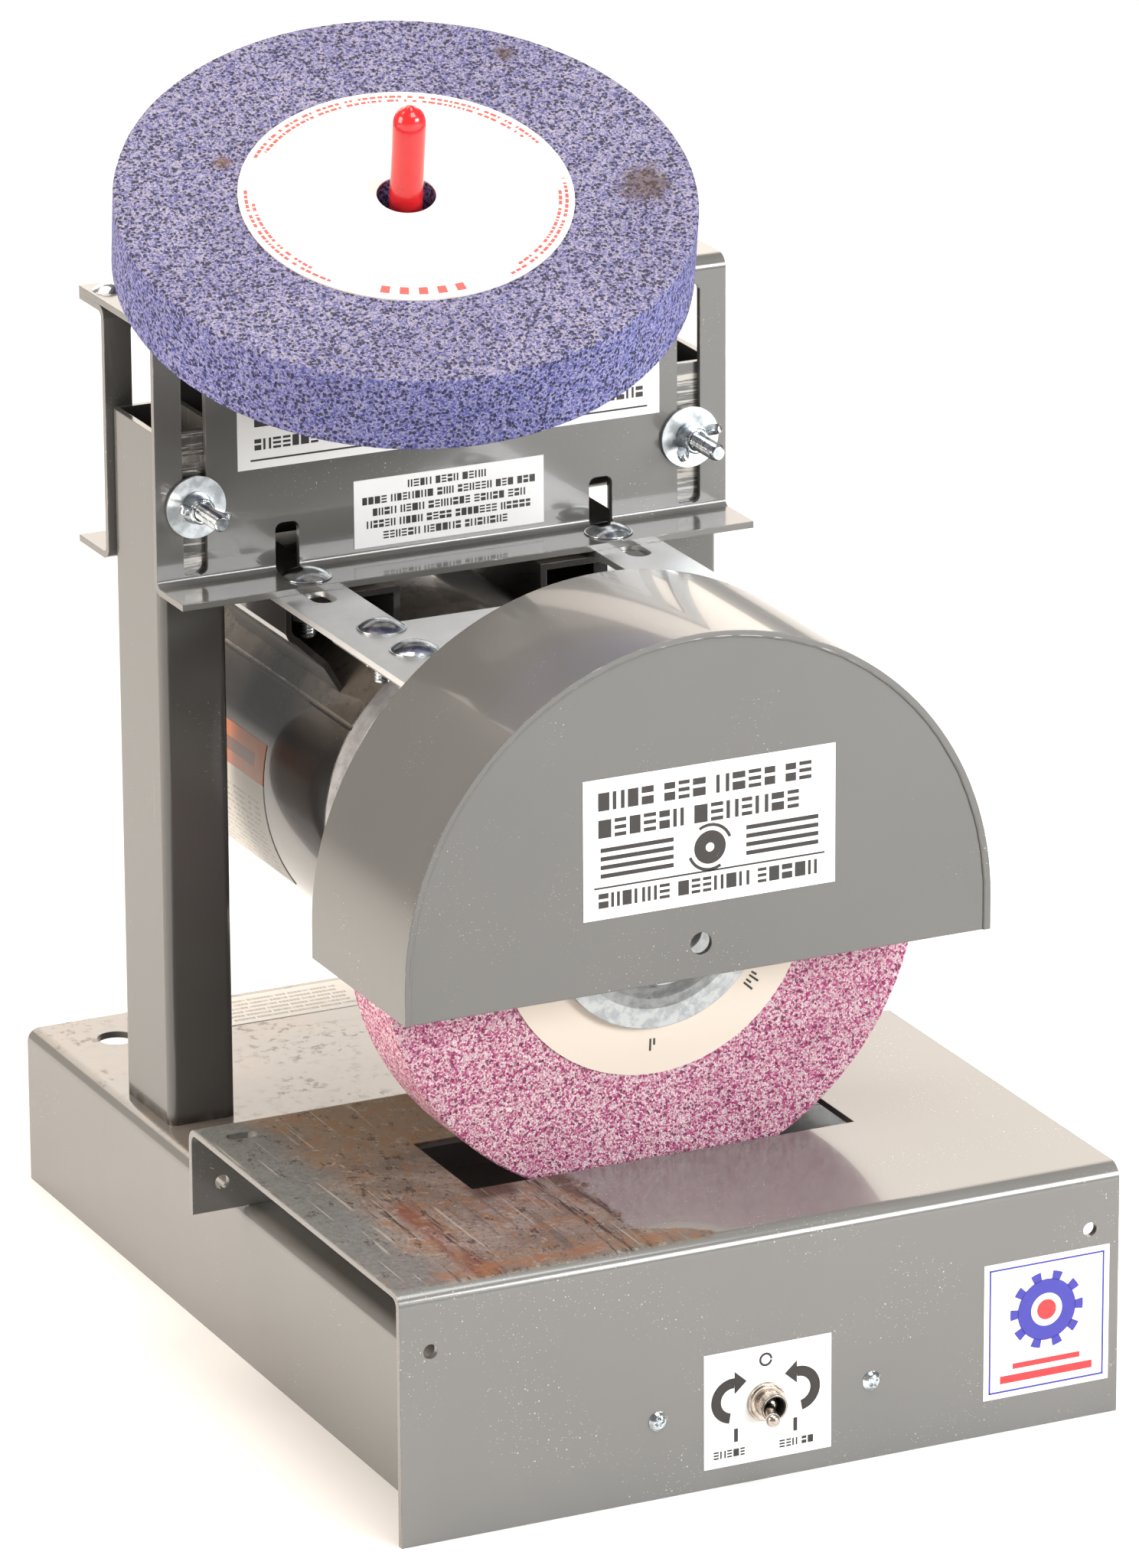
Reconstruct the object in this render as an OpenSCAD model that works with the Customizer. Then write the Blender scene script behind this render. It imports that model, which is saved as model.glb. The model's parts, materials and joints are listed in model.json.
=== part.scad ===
// Bench grinder with a height-adjustable wheel head, a slotted work table and a parked spare wheel.
// Origin: middle of the table's front edge, at the surface it stands on. +X right, +Y to the rear, +Z up.

/* [Base] */
// Width of the base channel
base_w = 290; // [270:1:310]
// Height of the base channel
base_h = 73; // [66:1:80]
// Rear edge of the base channel
base_back = 463; // [445:1:500]
// Thickness of the folded sheet
sheet = 3; // [2.5:0.1:3.5]
// Diameter of the two holes at the rear of the base
rear_hole_d = 17.5; // [12:0.5:20]

/* [Work table] */
// Width of the table
table_w = 338; // [330:1:350]
// Height of the table top
table_h = 113.3; // [108:0.1:118]
// Depth of the table from front to rear
table_d = 219; // [210:1:230]
// Length of the wheel slot
slot_w = 182; // [170:1:200]
// Front edge of the wheel slot
slot_front = 96; // [90:1:98]
// Rear edge of the wheel slot
slot_back = 156; // [150:1:162]

/* [Posts] */
// Distance between the centres of the two posts
post_gap = 239.2; // [234:0.1:244]
// Width of a post
post_w = 31.8; // [29:0.1:34]
// Depth of a post
post_d = 50.8; // [48:0.1:53]
// Front face of the posts
post_front = 318.5; // [318:0.1:320]
// Height of the tops of the posts
post_top = 393; // [385:1:400]
// Wall of a post
post_wall = 3; // [2:0.1:4]
// Height of the clamping bolts
bolt_z = 360; // [356:1:364]
// Diameter of the clamping bolts
bolt_d = 7.9; // [7:0.1:8.5]

/* [Carriage] */
// Width of the slotted channels
channel_w = 276; // [266:1:290]
// Underside of the channels
channel_bottom = 322.5; // [320:0.5:325]
// Top of the front channel
channel_top = 441.5; // [440:0.5:446]
// Width of the adjusting slots
adjust_slot_w = 11.3; // [10:0.1:12]
// Reach of the front channel's lower flange
flange_reach = 28; // [24:1:30]
// Rear edge of the channels' top plates
plate_back = 397; // [390:1:402]
// Half width of the motor plate
plate_half = 93; // [88:1:96]

/* [Motor] */
// Height of the spindle axis
axis_z = 221; // [219:0.5:223]
// Radius of the motor shell
motor_r = 83; // [80:0.5:84]
// Front edge of the motor shell
shell_front = 263; // [258:1:268]
// Rear edge of the motor shell
shell_back = 437; // [430:1:440]
// Diameter of the shaft
shaft_d = 15.9; // [14:0.1:17]

/* [Wheels] */
// Diameter of both grinding wheels
wheel_d = 254; // [250:1:258]
// Thickness of both grinding wheels
wheel_t = 38.1; // [36:0.1:40]
// Diameter of the wheels' bores
wheel_bore = 26; // [25:0.1:28]
// Front face of the mounted wheel
wheel_front = 105.5; // [104:0.5:107]
// Diameter of the paper blotters
blotter_d = 146; // [130:1:150]

/* [Guard] */
// Outside radius of the guard
guard_r = 137.5; // [136:0.5:140]
// Front edge of the guard
guard_front_y = 60; // [56:1:62]
// Depth of the guard
guard_depth = 95; // [94:1:98]
// Drop of the guard below the spindle axis
guard_skirt = 15; // [12:1:18]
// Thickness of the guard's sheet
guard_sheet = 2.5; // [2:0.1:3]

/* [Spare wheel] */
// Forward tilt of the spare wheel and its peg
spare_tilt = 22.9; // [20:0.1:24]
// Turn of that tilt toward the left
spare_turn = 18; // [12:1:20]
// Sideways place of the middle of the spare wheel's underside
spare_x = -20.1; // [-24:0.1:-16]
// Front-to-rear place of the middle of the spare wheel's underside
spare_y = 312.4; // [306:0.1:318]
// Height of the middle of the spare wheel's underside
spare_z = 457; // [456:0.1:462]

/* [Switch] */
// Height of the toggle switch
switch_z = 35.5; // [33:0.5:38]
// Lean of the toggle lever toward the left
lever_lean = 21; // [15:1:21]

/* [Hidden] */

round_fn = 96;
fine_fn = 48;
gap = 0.3;
bend = 6;
label_t = 0.3;
post_x = post_gap / 2;
table_bend = 7;
table_hole_d = 6.5;
table_hole_x = 155;
table_hole_z = 86;
web_front = post_front - gap - sheet;
rear_web_front = post_front + post_d + gap;
slot_low = channel_bottom + bend;
slot_high = channel_top - 11.5;
short_slot_x = 76;
short_slot_w = 11.3;
short_slot_top = 347;
overlap_bolt = [129, 385];
washer_d = 28;
washer_t = 1.6;
bolt_head_r = 10.9;
bolt_head_h = 4.4;
bolt_tips = 298;
small_bolt_d = 6.3;
small_head_r = 7.5;
small_head_h = 3.4;
nut_across = 12.7;
nut_t = 6.6;
flat_washer_d = 16;
lock_washer_d = 13;
lock_washer_t = 2;
small_nut_across = 11.1;
small_nut_t = 5.5;
screw_x = 50.4;
bushing_d = 11.9;
bushing_front = -9;
lever_pivot = -3;
switch_depth = 22;
arm_w = 33;
arm_back = 400;
cross_back = 233;
guard_back_y = guard_front_y + guard_depth;
plate_top = channel_bottom;
plate_bolt_x = 73;
plate_bolt_ys = [301, 388];
guard_bolt_x = 70.5;
guard_bolt_ys = [194, 228];
guard_flange_back = 236.5;
foot_front = 289;
foot_half = 89;
foot_opening = 34;
through_r = 72;
core_front = 300;
core_back = 400;
core_inner_r = 45;
bearing_r = 20;
bearing_t = 12;
flange_r = 50.8;
wheel_back = wheel_front + wheel_t;
blotter_t = 0.8;
peg_r = 4.7;
cap_r = 7.6;
cap_low = 18;
cap_high = 87;
tab_top = -3.3;

paint = "#77736d";
zinc = "#bfc4c8";
black = "#1a1a1b";
steel = "#9fa3a6";
paper = "#f1ece4";

// ---------- shared shapes ----------

// flat shape standing on the X axis with its two upper corners rounded
module arch_shape(w, h, r) {
    translate([-w / 2, 0]) square([w, h - r]);
    translate([-w / 2 + r, 0]) square([w - 2 * r, h]);
    for (side = [-1, 1])
        translate([side * (w / 2 - r), h - r]) circle(r, $fn = round_fn);
}

// rectangle about the origin with four rounded corners
module round_rect(w, d, r) {
    square([w - 2 * r, d], center = true);
    square([w, d - 2 * r], center = true);
    for (x = [-1, 1], y = [-1, 1])
        translate([x * (w / 2 - r), y * (d / 2 - r)]) circle(r, $fn = fine_fn);
}

// cylinder along +Y
module rod(d, length) {
    rotate([-90, 0, 0]) cylinder(h = length, d = d, $fn = round_fn);
}

// solid turned about the Y axis; the shape's X is the radius and its Y the distance along the axis
module turned() {
    rotate([-90, 0, 0]) rotate_extrude($fn = round_fn) children();
}

// slot cutter along +Y, upright, from low to high
module upright_slot(w, low, high, length) {
    translate([0, length, (low + high) / 2]) rotate([90, 0, 0])
        linear_extrude(length) round_rect(w, high - low, w * 0.3);
}

// rod of hexagonal section along +Z
module hex_prism(across, h) {
    cylinder(h = h, d = across / cos(30), $fn = 6);
}

// carriage bolt pointing down from a domed head that sits on z = 0
module carriage_bolt(d, head_r, head_h, length) {
    translate([0, 0, -length]) cylinder(h = length + 0.1, d = d, $fn = fine_fn);
    dome_r = (head_r * head_r + head_h * head_h) / (2 * head_h);
    intersection() {
        translate([0, 0, head_h - dome_r]) sphere(dome_r, $fn = round_fn);
        cylinder(h = head_h + 1, r = head_r, $fn = round_fn);
    }
}

// ring lying on z = 0
module washer(outer_d, inner_d, t) {
    difference() {
        cylinder(h = t, d = outer_d, $fn = round_fn);
        translate([0, 0, -1]) cylinder(h = t + 2, d = inner_d, $fn = round_fn);
    }
}

// hexagon nut on z = 0
module hex_nut(across, inner_d, t) {
    difference() {
        hex_prism(across, t);
        translate([0, 0, -1]) cylinder(h = t + 2, d = inner_d, $fn = fine_fn);
    }
}

// ---------- base ----------

module base_channel() {
    length = base_back - sheet;
    color(paint) difference() {
        translate([0, base_back, 0]) rotate([90, 0, 0]) linear_extrude(length) difference() {
            arch_shape(base_w, base_h, bend);
            translate([0, -1]) arch_shape(base_w - 2 * sheet, base_h - sheet + 1, bend - sheet);
        }
        for (side = [-1, 1])
            translate([side * 113, base_back - 29, base_h - sheet - 1])
                cylinder(h = sheet + 2, d = rear_hole_d, $fn = round_fn);
        gland_hole();
    }
}

module gland_place() {
    translate([base_w / 2, base_back - 40, 36]) rotate([0, 90, 0]) children();
}

module gland_hole() {
    gland_place() translate([0, 0, -sheet - 1]) cylinder(h = sheet + 2, d = 16.2, $fn = round_fn);
}

module cord_gland() {
    color(black) gland_place() difference() {
        union() {
            translate([0, 0, -16]) cylinder(h = 18, d = 16, $fn = round_fn);
            translate([0, 0, 0]) hex_prism(22, 6);
            translate([0, 0, -sheet - 5]) hex_prism(22, 5);
            translate([0, 0, 6]) cylinder(h = 12, d1 = 19, d2 = 13, $fn = round_fn);
        }
        translate([0, 0, -17]) cylinder(h = 36, d = 8.4, $fn = round_fn);
    }
}

module work_table() {
    slot_mid = (slot_front + slot_back) / 2;
    color(paint) difference() {
        translate([table_w / 2, 0, 0]) rotate([90, 0, -90]) linear_extrude(table_w)
            table_profile();
        translate([0, slot_mid, table_h - sheet - 1]) linear_extrude(sheet + 2)
            square([slot_w, slot_back - slot_front], center = true);
        for (side = [-1, 1])
            translate([side * table_hole_x, -1, table_hole_z]) rod(table_hole_d, table_d + 2);
        translate([-153, 198, table_h - sheet - 1]) linear_extrude(sheet + 2)
            round_rect(14, 7, 3.4);
        translate([0, -1, switch_z]) rod(bushing_d + 0.4, sheet + 2);
        for (side = [-1, 1])
            translate([side * screw_x, -1, switch_z]) rod(4.4, sheet + 2);
    }
}

// side view of the table: X runs forward, Y up
module table_profile() {
    difference() {
        translate([-table_d / 2, 0]) arch_shape(table_d, table_h, table_bend);
        translate([-table_d / 2, -1])
            arch_shape(table_d - 2 * sheet, table_h - sheet + 1, table_bend - sheet);
        translate([-table_d - 1, -1]) square([sheet + 3, base_h + 1]);
    }
}

module post(side) {
    color(paint) difference() {
        translate([side * post_x, post_front + post_d / 2, base_h])
            linear_extrude(post_top - base_h) difference() {
                round_rect(post_w, post_d, 4);
                round_rect(post_w - 2 * post_wall, post_d - 2 * post_wall, 1.5);
            }
        translate([side * post_x, post_front - 1, bolt_z]) rod(bolt_d + 0.1, post_d + 2);
    }
}

module left_post() {
    post(-1);
}

module right_post() {
    post(1);
}

module post_bolts() {
    washer_back = rear_web_front + sheet + gap + washer_t;
    color(zinc) for (side = [-1, 1])
        translate([side * post_x, washer_back, bolt_z]) rotate([-90, 0, 0])
            carriage_bolt(bolt_d, 9.5, bolt_head_h, washer_back - 285);
}

module fender_washers() {
    color(zinc) for (side = [-1, 1]) {
        translate([side * post_x, web_front - gap, bolt_z]) rotate([90, 0, 0])
            washer(washer_d, bolt_d, washer_t);
        translate([side * post_x, rear_web_front + sheet + gap, bolt_z]) rotate([-90, 0, 0])
            washer(washer_d, bolt_d, washer_t);
    }
}

module wing_nut(side, turn) {
    face = web_front - 2 * gap - washer_t;
    color(zinc) translate([side * post_x, face, bolt_z]) rotate([90, turn, 0]) difference() {
        union() {
            cylinder(h = 7, d1 = 14, d2 = 12, $fn = round_fn);
            for (wing = [0, 180]) rotate([0, 0, wing])
                translate([4, 0, 2]) rotate([90, 0, 0]) translate([0, 0, -1.6])
                    linear_extrude(3.2) wing_shape();
        }
        translate([0, 0, -1]) cylinder(h = 20, d = bolt_d + 0.16, $fn = round_fn);
    }
}

module wing_shape() {
    polygon([[0, 0], [4, 0], [9.5, 5], [9.5, 10], [5.5, 9], [0, 5]]);
    translate([7.8, 9]) circle(3.1, $fn = fine_fn);
}

module left_wing_nut() {
    wing_nut(-1, 14);
}

module right_wing_nut() {
    wing_nut(1, -32);
}

// ---------- switch ----------

module switch_box() {
    color(zinc) difference() {
        union() {
            translate([-40, sheet, switch_z - 25]) cube([80, 46, 50]);
            translate([-56, sheet, switch_z - 10]) cube([112, 1.5, 20]);
        }
        translate([-38.5, sheet + 1.5, switch_z - 23.5]) cube([77, 46, 47]);
        translate([0, sheet - 1, switch_z]) rod(bushing_d + 0.4, 4);
        for (side = [-1, 1])
            translate([side * screw_x, sheet - 1, switch_z]) rod(3.4, 4);
    }
}

// block behind the front sheet, with a hollow threaded bushing through it
module switch_body() {
    body_front = sheet + 1.5;
    color(black) difference() {
        union() {
            translate([-17, body_front, switch_z - 10]) cube([34, switch_depth, 20]);
            translate([0, bushing_front, switch_z]) rod(bushing_d, body_front - bushing_front + 0.1);
        }
        translate([0, bushing_front - 1, switch_z]) rod(9.6, 12);
    }
}

module switch_terminals() {
    color("#b9a46a") for (x = [-11, 0, 11], z = [-5, 5])
        translate([x - 3, sheet + 1.5 + switch_depth, switch_z + z - 0.4]) cube([6, 9, 0.8]);
}

module switch_ring_nut() {
    color(zinc) translate([0, -label_t, switch_z]) rotate([90, 0, 0]) union() {
        washer(17.6, bushing_d, 1.2);
        translate([0, 0, 1.2]) washer(16, bushing_d, 2.2);
    }
}

module switch_box_screws() {
    color(zinc) for (side = [-1, 1])
        translate([side * screw_x, 0, switch_z]) rotate([90, 0, 0]) difference() {
            carriage_bolt(3.3, 4.4, 2.6, 9);
            for (turn = [0, 90]) rotate([0, 0, turn])
                translate([-2.4, -0.5, 1.4]) cube([4.8, 1, 2]);
        }
}

module toggle_lever() {
    reach = 18.5;
    color(zinc) translate([0, lever_pivot, switch_z]) rotate([90, 0, 0])
        rotate([0, -lever_lean, 0]) {
            sphere(4.1, $fn = fine_fn);
            // cross pin that the lever swings on
            rotate([90, 0, 0]) cylinder(h = 9, d = 2.4, center = true, $fn = fine_fn);
            cylinder(h = reach, d1 = 3, d2 = 5.4, $fn = fine_fn);
            translate([0, 0, reach]) sphere(3.1, $fn = fine_fn);
        }
}

// ---------- labels ----------

module switch_label() {
    color(paper) difference() {
        translate([-29, -label_t, 9]) cube([60, label_t, 52]);
        translate([0, -1, switch_z]) rod(bushing_d + 0.4, 2);
    }
}

module square_sticker() {
    color(paper) translate([104, -label_t, 16]) cube([60.5, label_t, 62]);
}

module base_label() {
    color(paper) translate([-60, 425, base_h]) cube([72, 34, label_t]);
}

module upper_label() {
    color(paper) translate([-99, web_front - label_t, 373]) cube([204, label_t, 52]);
}

module lower_label() {
    color(paper) translate([-44, web_front - label_t, 330]) cube([92, label_t, 31]);
}

module guard_label() {
    color(paper) translate([-55, guard_front_y + 0.8 - label_t, 239]) cube([118, label_t, 62]);
}

module motor_label() {
    color(paper) intersection() {
        translate([0, 330, axis_z]) difference() {
            rod(2 * (motor_r + label_t), 92);
            translate([0, -1, 0]) rod(2 * motor_r, 94);
        }
        translate([-100, 320, axis_z - 48]) cube([60, 110, 67]);
    }
}

// ---------- carriage ----------

module adjust_slots(y, length) {
    for (side = [-1, 1])
        translate([side * post_x, y, 0])
            upright_slot(adjust_slot_w, slot_low, slot_high, length);
}

module front_channel() {
    reach = plate_back - web_front;
    color(paint) difference() {
        union() {
            // web
            translate([-channel_w / 2, web_front, channel_bottom + bend])
                cube([channel_w, sheet, channel_top - channel_bottom - 2 * bend]);
            // long top plate, folded to the rear
            translate([-channel_w / 2, web_front + bend, channel_top - sheet])
                cube([channel_w, reach - bend, sheet]);
            fold(web_front + bend, channel_top - bend, 90);
            // lower flange, folded to the front
            translate([-channel_w / 2, web_front - flange_reach, channel_bottom])
                cube([channel_w, flange_reach + sheet - bend, sheet]);
            fold(web_front + sheet - bend, channel_bottom + bend, -90);
        }
        adjust_slots(web_front - 1, sheet + 2);
        for (side = [-1, 1])
            translate([side * short_slot_x, 0, 0]) {
                translate([0, web_front - 1, 0])
                    upright_slot(short_slot_w, channel_bottom - 1, short_slot_top, sheet + 2);
                translate([0, web_front - 4, channel_bottom - 1])
                    linear_extrude(sheet + bend) square([short_slot_w, 20], center = true);
            }
        top_holes();
        flange_holes(plate_bolt_ys[0], channel_bottom);
        bracket_place() cylinder(h = 40, d = small_bolt_d + 0.3, center = true, $fn = fine_fn);
    }
}

// quarter-round fold along X about the line (y, z), covering the quadrant that starts at an angle
module fold(y, z, start) {
    translate([-channel_w / 2, y, z]) rotate([90, 0, 90]) linear_extrude(channel_w)
        intersection() {
            difference() {
                circle(bend, $fn = round_fn);
                circle(bend - sheet, $fn = round_fn);
            }
            rotate(start) square(bend + 1);
        }
}

module top_holes() {
    for (side = [-1, 1])
        translate([side * overlap_bolt[0], overlap_bolt[1], channel_top - 2 * sheet - 1])
            cylinder(h = 2 * sheet + 2, d = small_bolt_d + 0.3, $fn = fine_fn);
}

module flange_holes(y, z) {
    for (side = [-1, 1])
        translate([side * plate_bolt_x, y, z - 1])
            cylinder(h = sheet + 2, d = bolt_d + 0.5, $fn = fine_fn);
}

module rear_channel() {
    top = channel_top - sheet;
    color(paint) difference() {
        union() {
            translate([-channel_w / 2, rear_web_front, channel_bottom + bend])
                cube([channel_w, sheet, top - channel_bottom - 2 * bend]);
            translate([-channel_w / 2, rear_web_front + bend, top - sheet])
                cube([channel_w, plate_back - rear_web_front - bend, sheet]);
            fold(rear_web_front + bend, top - bend, 90);
            translate([-channel_w / 2, rear_web_front + bend, channel_bottom])
                cube([channel_w, plate_back + 6 - rear_web_front - bend, sheet]);
            fold(rear_web_front + bend, channel_bottom + bend, 180);
        }
        adjust_slots(rear_web_front - 1, sheet + 2);
        top_holes();
        flange_holes(plate_bolt_ys[1], channel_bottom);
    }
}

module top_bolts() {
    color(zinc) {
        for (side = [-1, 1])
            translate([side * overlap_bolt[0], overlap_bolt[1], channel_top])
                carriage_bolt(small_bolt_d, small_head_r, small_head_h, 15);
        bracket_place() translate([0, 0, sheet]) carriage_bolt(small_bolt_d, small_head_r, small_head_h, 15);
    }
}

module top_nuts() {
    color(zinc) {
        for (side = [-1, 1])
            translate([side * overlap_bolt[0], overlap_bolt[1], channel_top - 2 * sheet - small_nut_t])
                hex_nut(small_nut_across, small_bolt_d, small_nut_t);
        bracket_place() translate([0, 0, -sheet - small_nut_t])
            hex_nut(small_nut_across, small_bolt_d, small_nut_t);
    }
}

// ---------- spare wheel and its peg ----------

// frame of the spare wheel: origin at the middle of its underside, Z along its axis
module spare_place() {
    translate([spare_x, spare_y, spare_z]) rotate([0, 0, -spare_turn])
        rotate([spare_tilt, 0, 0]) children();
}

// frame of the bracket's bolt on the top plate
module bracket_place() {
    translate([spare_x, spare_y, channel_top]) rotate([0, 0, -spare_turn])
        translate([0, 45, 0]) children();
}

module peg_bracket() {
    half = 16;
    tab_back = 24;
    foot_y = 22;
    drop = spare_z - channel_top;
    color(zinc) difference() {
        union() {
            spare_place() translate([-half, -14, tab_top - sheet])
                cube([2 * half, tab_back + 14, sheet]);
            translate([spare_x, spare_y, spare_z]) rotate([0, 0, -spare_turn]) {
                translate([-half, foot_y, -drop]) cube([2 * half, sheet, drop + 5]);
                translate([-half, foot_y, -drop]) cube([2 * half, 36, sheet]);
            }
        }
        spare_place() cylinder(h = 40, r = peg_r + 0.1, center = true, $fn = fine_fn);
        bracket_place() cylinder(h = 40, d = small_bolt_d + 0.3, center = true, $fn = fine_fn);
    }
}

module peg_stud() {
    color(zinc) spare_place() {
        translate([0, 0, tab_top - sheet - 0.1]) cylinder(h = 84, r = peg_r, $fn = fine_fn);
        translate([0, 0, tab_top - sheet - 5]) hex_prism(13, 5);
    }
}

module peg_washer() {
    color(zinc) spare_place() translate([0, 0, tab_top]) washer(38, 2 * peg_r + 0.2, 2);
}

module peg_cap() {
    color("#c8202a") spare_place() difference() {
        union() {
            translate([0, 0, cap_low]) cylinder(h = cap_high - cap_low - cap_r, r = cap_r,
                $fn = fine_fn);
            translate([0, 0, cap_high - cap_r]) sphere(cap_r, $fn = fine_fn);
        }
        translate([0, 0, cap_low - 1]) cylinder(h = 62, r = peg_r, $fn = fine_fn);
    }
}

module wheel_body() {
    difference() {
        cylinder(h = wheel_t, d = wheel_d, $fn = round_fn);
        translate([0, 0, -1]) cylinder(h = wheel_t + 2, d = wheel_bore, $fn = round_fn);
    }
}

module spare_wheel() {
    color("#8279a8") spare_place() wheel_body();
}

module spare_blotters() {
    color(paper) spare_place() {
        translate([0, 0, wheel_t]) washer(blotter_d, wheel_bore, blotter_t);
        translate([0, 0, -blotter_t]) washer(blotter_d, wheel_bore, blotter_t);
    }
}

// ---------- motor plate and guard ----------

module motor_plate() {
    color(zinc) difference() {
        translate([0, 0, plate_top - sheet]) linear_extrude(sheet) difference() {
            translate([-plate_half, guard_back_y + gap])
                square([2 * plate_half, arm_back - guard_back_y - gap]);
            translate([-plate_half + arm_w, cross_back])
                square([2 * (plate_half - arm_w), arm_back]);
        }
        for (y = plate_bolt_ys) flange_holes(y, plate_top - sheet);
        for (side = [-1, 1])
            translate([side * 76, 281, plate_top - sheet - 1]) linear_extrude(sheet + 2)
                round_rect(11, 20, 5.4);
        guard_holes(plate_top - sheet);
    }
}

module guard_holes(z) {
    for (side = [-1, 1], y = guard_bolt_ys)
        translate([side * guard_bolt_x, y, z - 1])
            cylinder(h = sheet + 2, d = bolt_d + 0.5, $fn = fine_fn);
}

// upright face of the guard: a half disc with a short skirt, X across and Y up from the axis
module guard_face(r) {
    intersection() {
        union() {
            circle(r, $fn = 2 * round_fn);
            translate([-r, -guard_skirt]) square([2 * r, guard_skirt]);
        }
        translate([-r - 1, -guard_skirt]) square([2 * r + 2, r + guard_skirt + 1]);
    }
}

module guard_front() {
    inner = guard_r - guard_sheet;
    color(paint) difference() {
        translate([0, guard_front_y + 0.8 + guard_sheet, axis_z]) rotate([90, 0, 0])
            linear_extrude(guard_sheet) guard_face(inner);
        translate([0, guard_front_y - 1, axis_z]) rod(10, 8);
    }
}

module guard_rim() {
    color(paint) translate([0, guard_back_y, axis_z]) rotate([90, 0, 0])
        linear_extrude(guard_depth) difference() {
            guard_face(guard_r);
            circle(guard_r - guard_sheet, $fn = 2 * round_fn);
            translate([-guard_r + guard_sheet, -guard_skirt - 1])
                square([2 * (guard_r - guard_sheet), guard_skirt + 1]);
        }
}

module guard_back() {
    inner = guard_r - guard_sheet;
    flange_z = plate_top - 2 * sheet;
    color(paint) difference() {
        union() {
            translate([0, guard_back_y, axis_z]) rotate([90, 0, 0])
                linear_extrude(guard_sheet) guard_face(inner);
            translate([-90, guard_back_y - 0.5, flange_z])
                cube([180, guard_flange_back - guard_back_y, sheet]);
        }
        translate([0, guard_back_y - 5, axis_z]) rod(46, 10);
        translate([-23, guard_back_y - 5, axis_z - guard_skirt - 1])
            cube([46, 10, guard_skirt + 1]);
        guard_holes(flange_z);
    }
}

module plate_bolts() {
    color(zinc) for (side = [-1, 1]) {
        for (y = plate_bolt_ys)
            translate([side * plate_bolt_x, y, plate_top + sheet])
                carriage_bolt(bolt_d, bolt_head_r, bolt_head_h, plate_top + sheet - bolt_tips);
        for (y = guard_bolt_ys)
            translate([side * guard_bolt_x, y, plate_top])
                carriage_bolt(bolt_d, bolt_head_r, bolt_head_h, plate_top - bolt_tips);
    }
}

// places on the underside of the lowest sheet at each of the eight bolts
module under_bolts() {
    for (side = [-1, 1]) {
        for (y = plate_bolt_ys)
            translate([side * plate_bolt_x, y, plate_top - 2 * sheet]) children();
        for (y = guard_bolt_ys)
            translate([side * guard_bolt_x, y, plate_top - 2 * sheet]) children();
    }
}

module plate_washers() {
    color(zinc) under_bolts() {
        translate([0, 0, -washer_t]) washer(flat_washer_d, bolt_d, washer_t);
        translate([0, 0, -washer_t - lock_washer_t]) washer(lock_washer_d, bolt_d, lock_washer_t);
    }
}

module plate_nuts() {
    color(zinc) under_bolts()
        translate([0, 0, -washer_t - lock_washer_t - nut_t]) hex_nut(nut_across, bolt_d, nut_t);
}

// ---------- motor ----------

module on_axis(y) {
    translate([0, y, axis_z]) children();
}

// two pressed feet, each an inverted channel that is open at the front and closed at the rear
module motor_foot() {
    foot_top = plate_top - sheet;
    depth = arm_back - foot_front;
    color(black) difference() {
        for (side = [0, 1]) mirror([side, 0, 0])
            translate([0, arm_back, 0]) rotate([90, 0, 0]) difference() {
                linear_extrude(depth) foot_outline(foot_top);
                translate([0, 0, sheet]) linear_extrude(depth) foot_hollow(foot_top - sheet);
            }
        on_axis(foot_front - 1) rod(2 * motor_r, depth + 2);
        for (y = plate_bolt_ys) flange_holes(y, foot_top - sheet);
    }
}

// section of a foot: a flat pad whose outer wall turns inward and runs down onto the shell
module foot_outline(top) {
    polygon([[foot_opening, top], [foot_half, top], [foot_half, top - 15], [foot_half - 1.5, top - 18.2],
        [foot_half - 5, top - 20.5], [foot_half - 18, top - 33], [foot_half - 28, top - 49.5],
        [foot_opening, top - 49.5]]);
}

module foot_hollow(top) {
    polygon([[foot_opening + sheet, top], [foot_half - sheet, top], [foot_half - sheet, top - 11],
        [foot_half - 4, top - 13], [foot_half - 6.6, top - 14.8], [foot_half - 19.9, top - 27.5],
        [foot_half - 31, top - 46.5], [foot_opening + sheet, top - 46.5]]);
}

module motor_shell() {
    color(black) on_axis(shell_front) difference() {
        rod(2 * motor_r, shell_back - shell_front);
        translate([0, -1, 0]) rod(2 * motor_r - 5, shell_back - shell_front + 2);
    }
}

// end bell that closes the shell; its shape's Y runs outward from the joint with the shell
module bell_shape(depth) {
    hub = 27;
    polygon([[0, depth], [hub, depth], [hub, depth - 4], [62, depth - 7], [motor_r - 7, 15],
        [motor_r, 13], [motor_r, 0], [motor_r - 6, 0], [motor_r - 6, 9], [58, depth - 12],
        [hub + 2, depth - 10], [hub + 2, 6], [0, 6]]);
}

module bell_cuts(depth) {
    // bearing seat and shaft hole
    translate([0, 5, 0]) rod(2 * bearing_r + 0.1, bearing_t + 1);
    rod(shaft_d + 1, depth + 1);
    for (turn = [45:90:315])
        rotate([0, turn, 0]) translate([through_r, 0, 0]) rod(5.2, depth + 1);
    for (turn = [0:30:330])
        rotate([0, turn, 0]) translate([44, depth - 14, -4]) cube([14, 14, 8]);
}

module bell(depth) {
    difference() {
        turned() bell_shape(depth);
        bell_cuts(depth);
    }
}

module front_bell() {
    color("#b9bbbc") on_axis(shell_front) mirror([0, 1, 0]) bell(30);
}

module rear_bell() {
    color("#b9bbbc") on_axis(shell_back) bell(24);
}

module stator_core() {
    color(steel) on_axis(core_front) difference() {
        rod(2 * motor_r - 5.4, core_back - core_front);
        translate([0, -1, 0]) rod(2 * core_inner_r, core_back - core_front + 2);
        for (turn = [45:90:315])
            rotate([0, turn, 0]) translate([through_r, -1, 0])
                rod(5.2, core_back - core_front + 2);
    }
}

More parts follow.
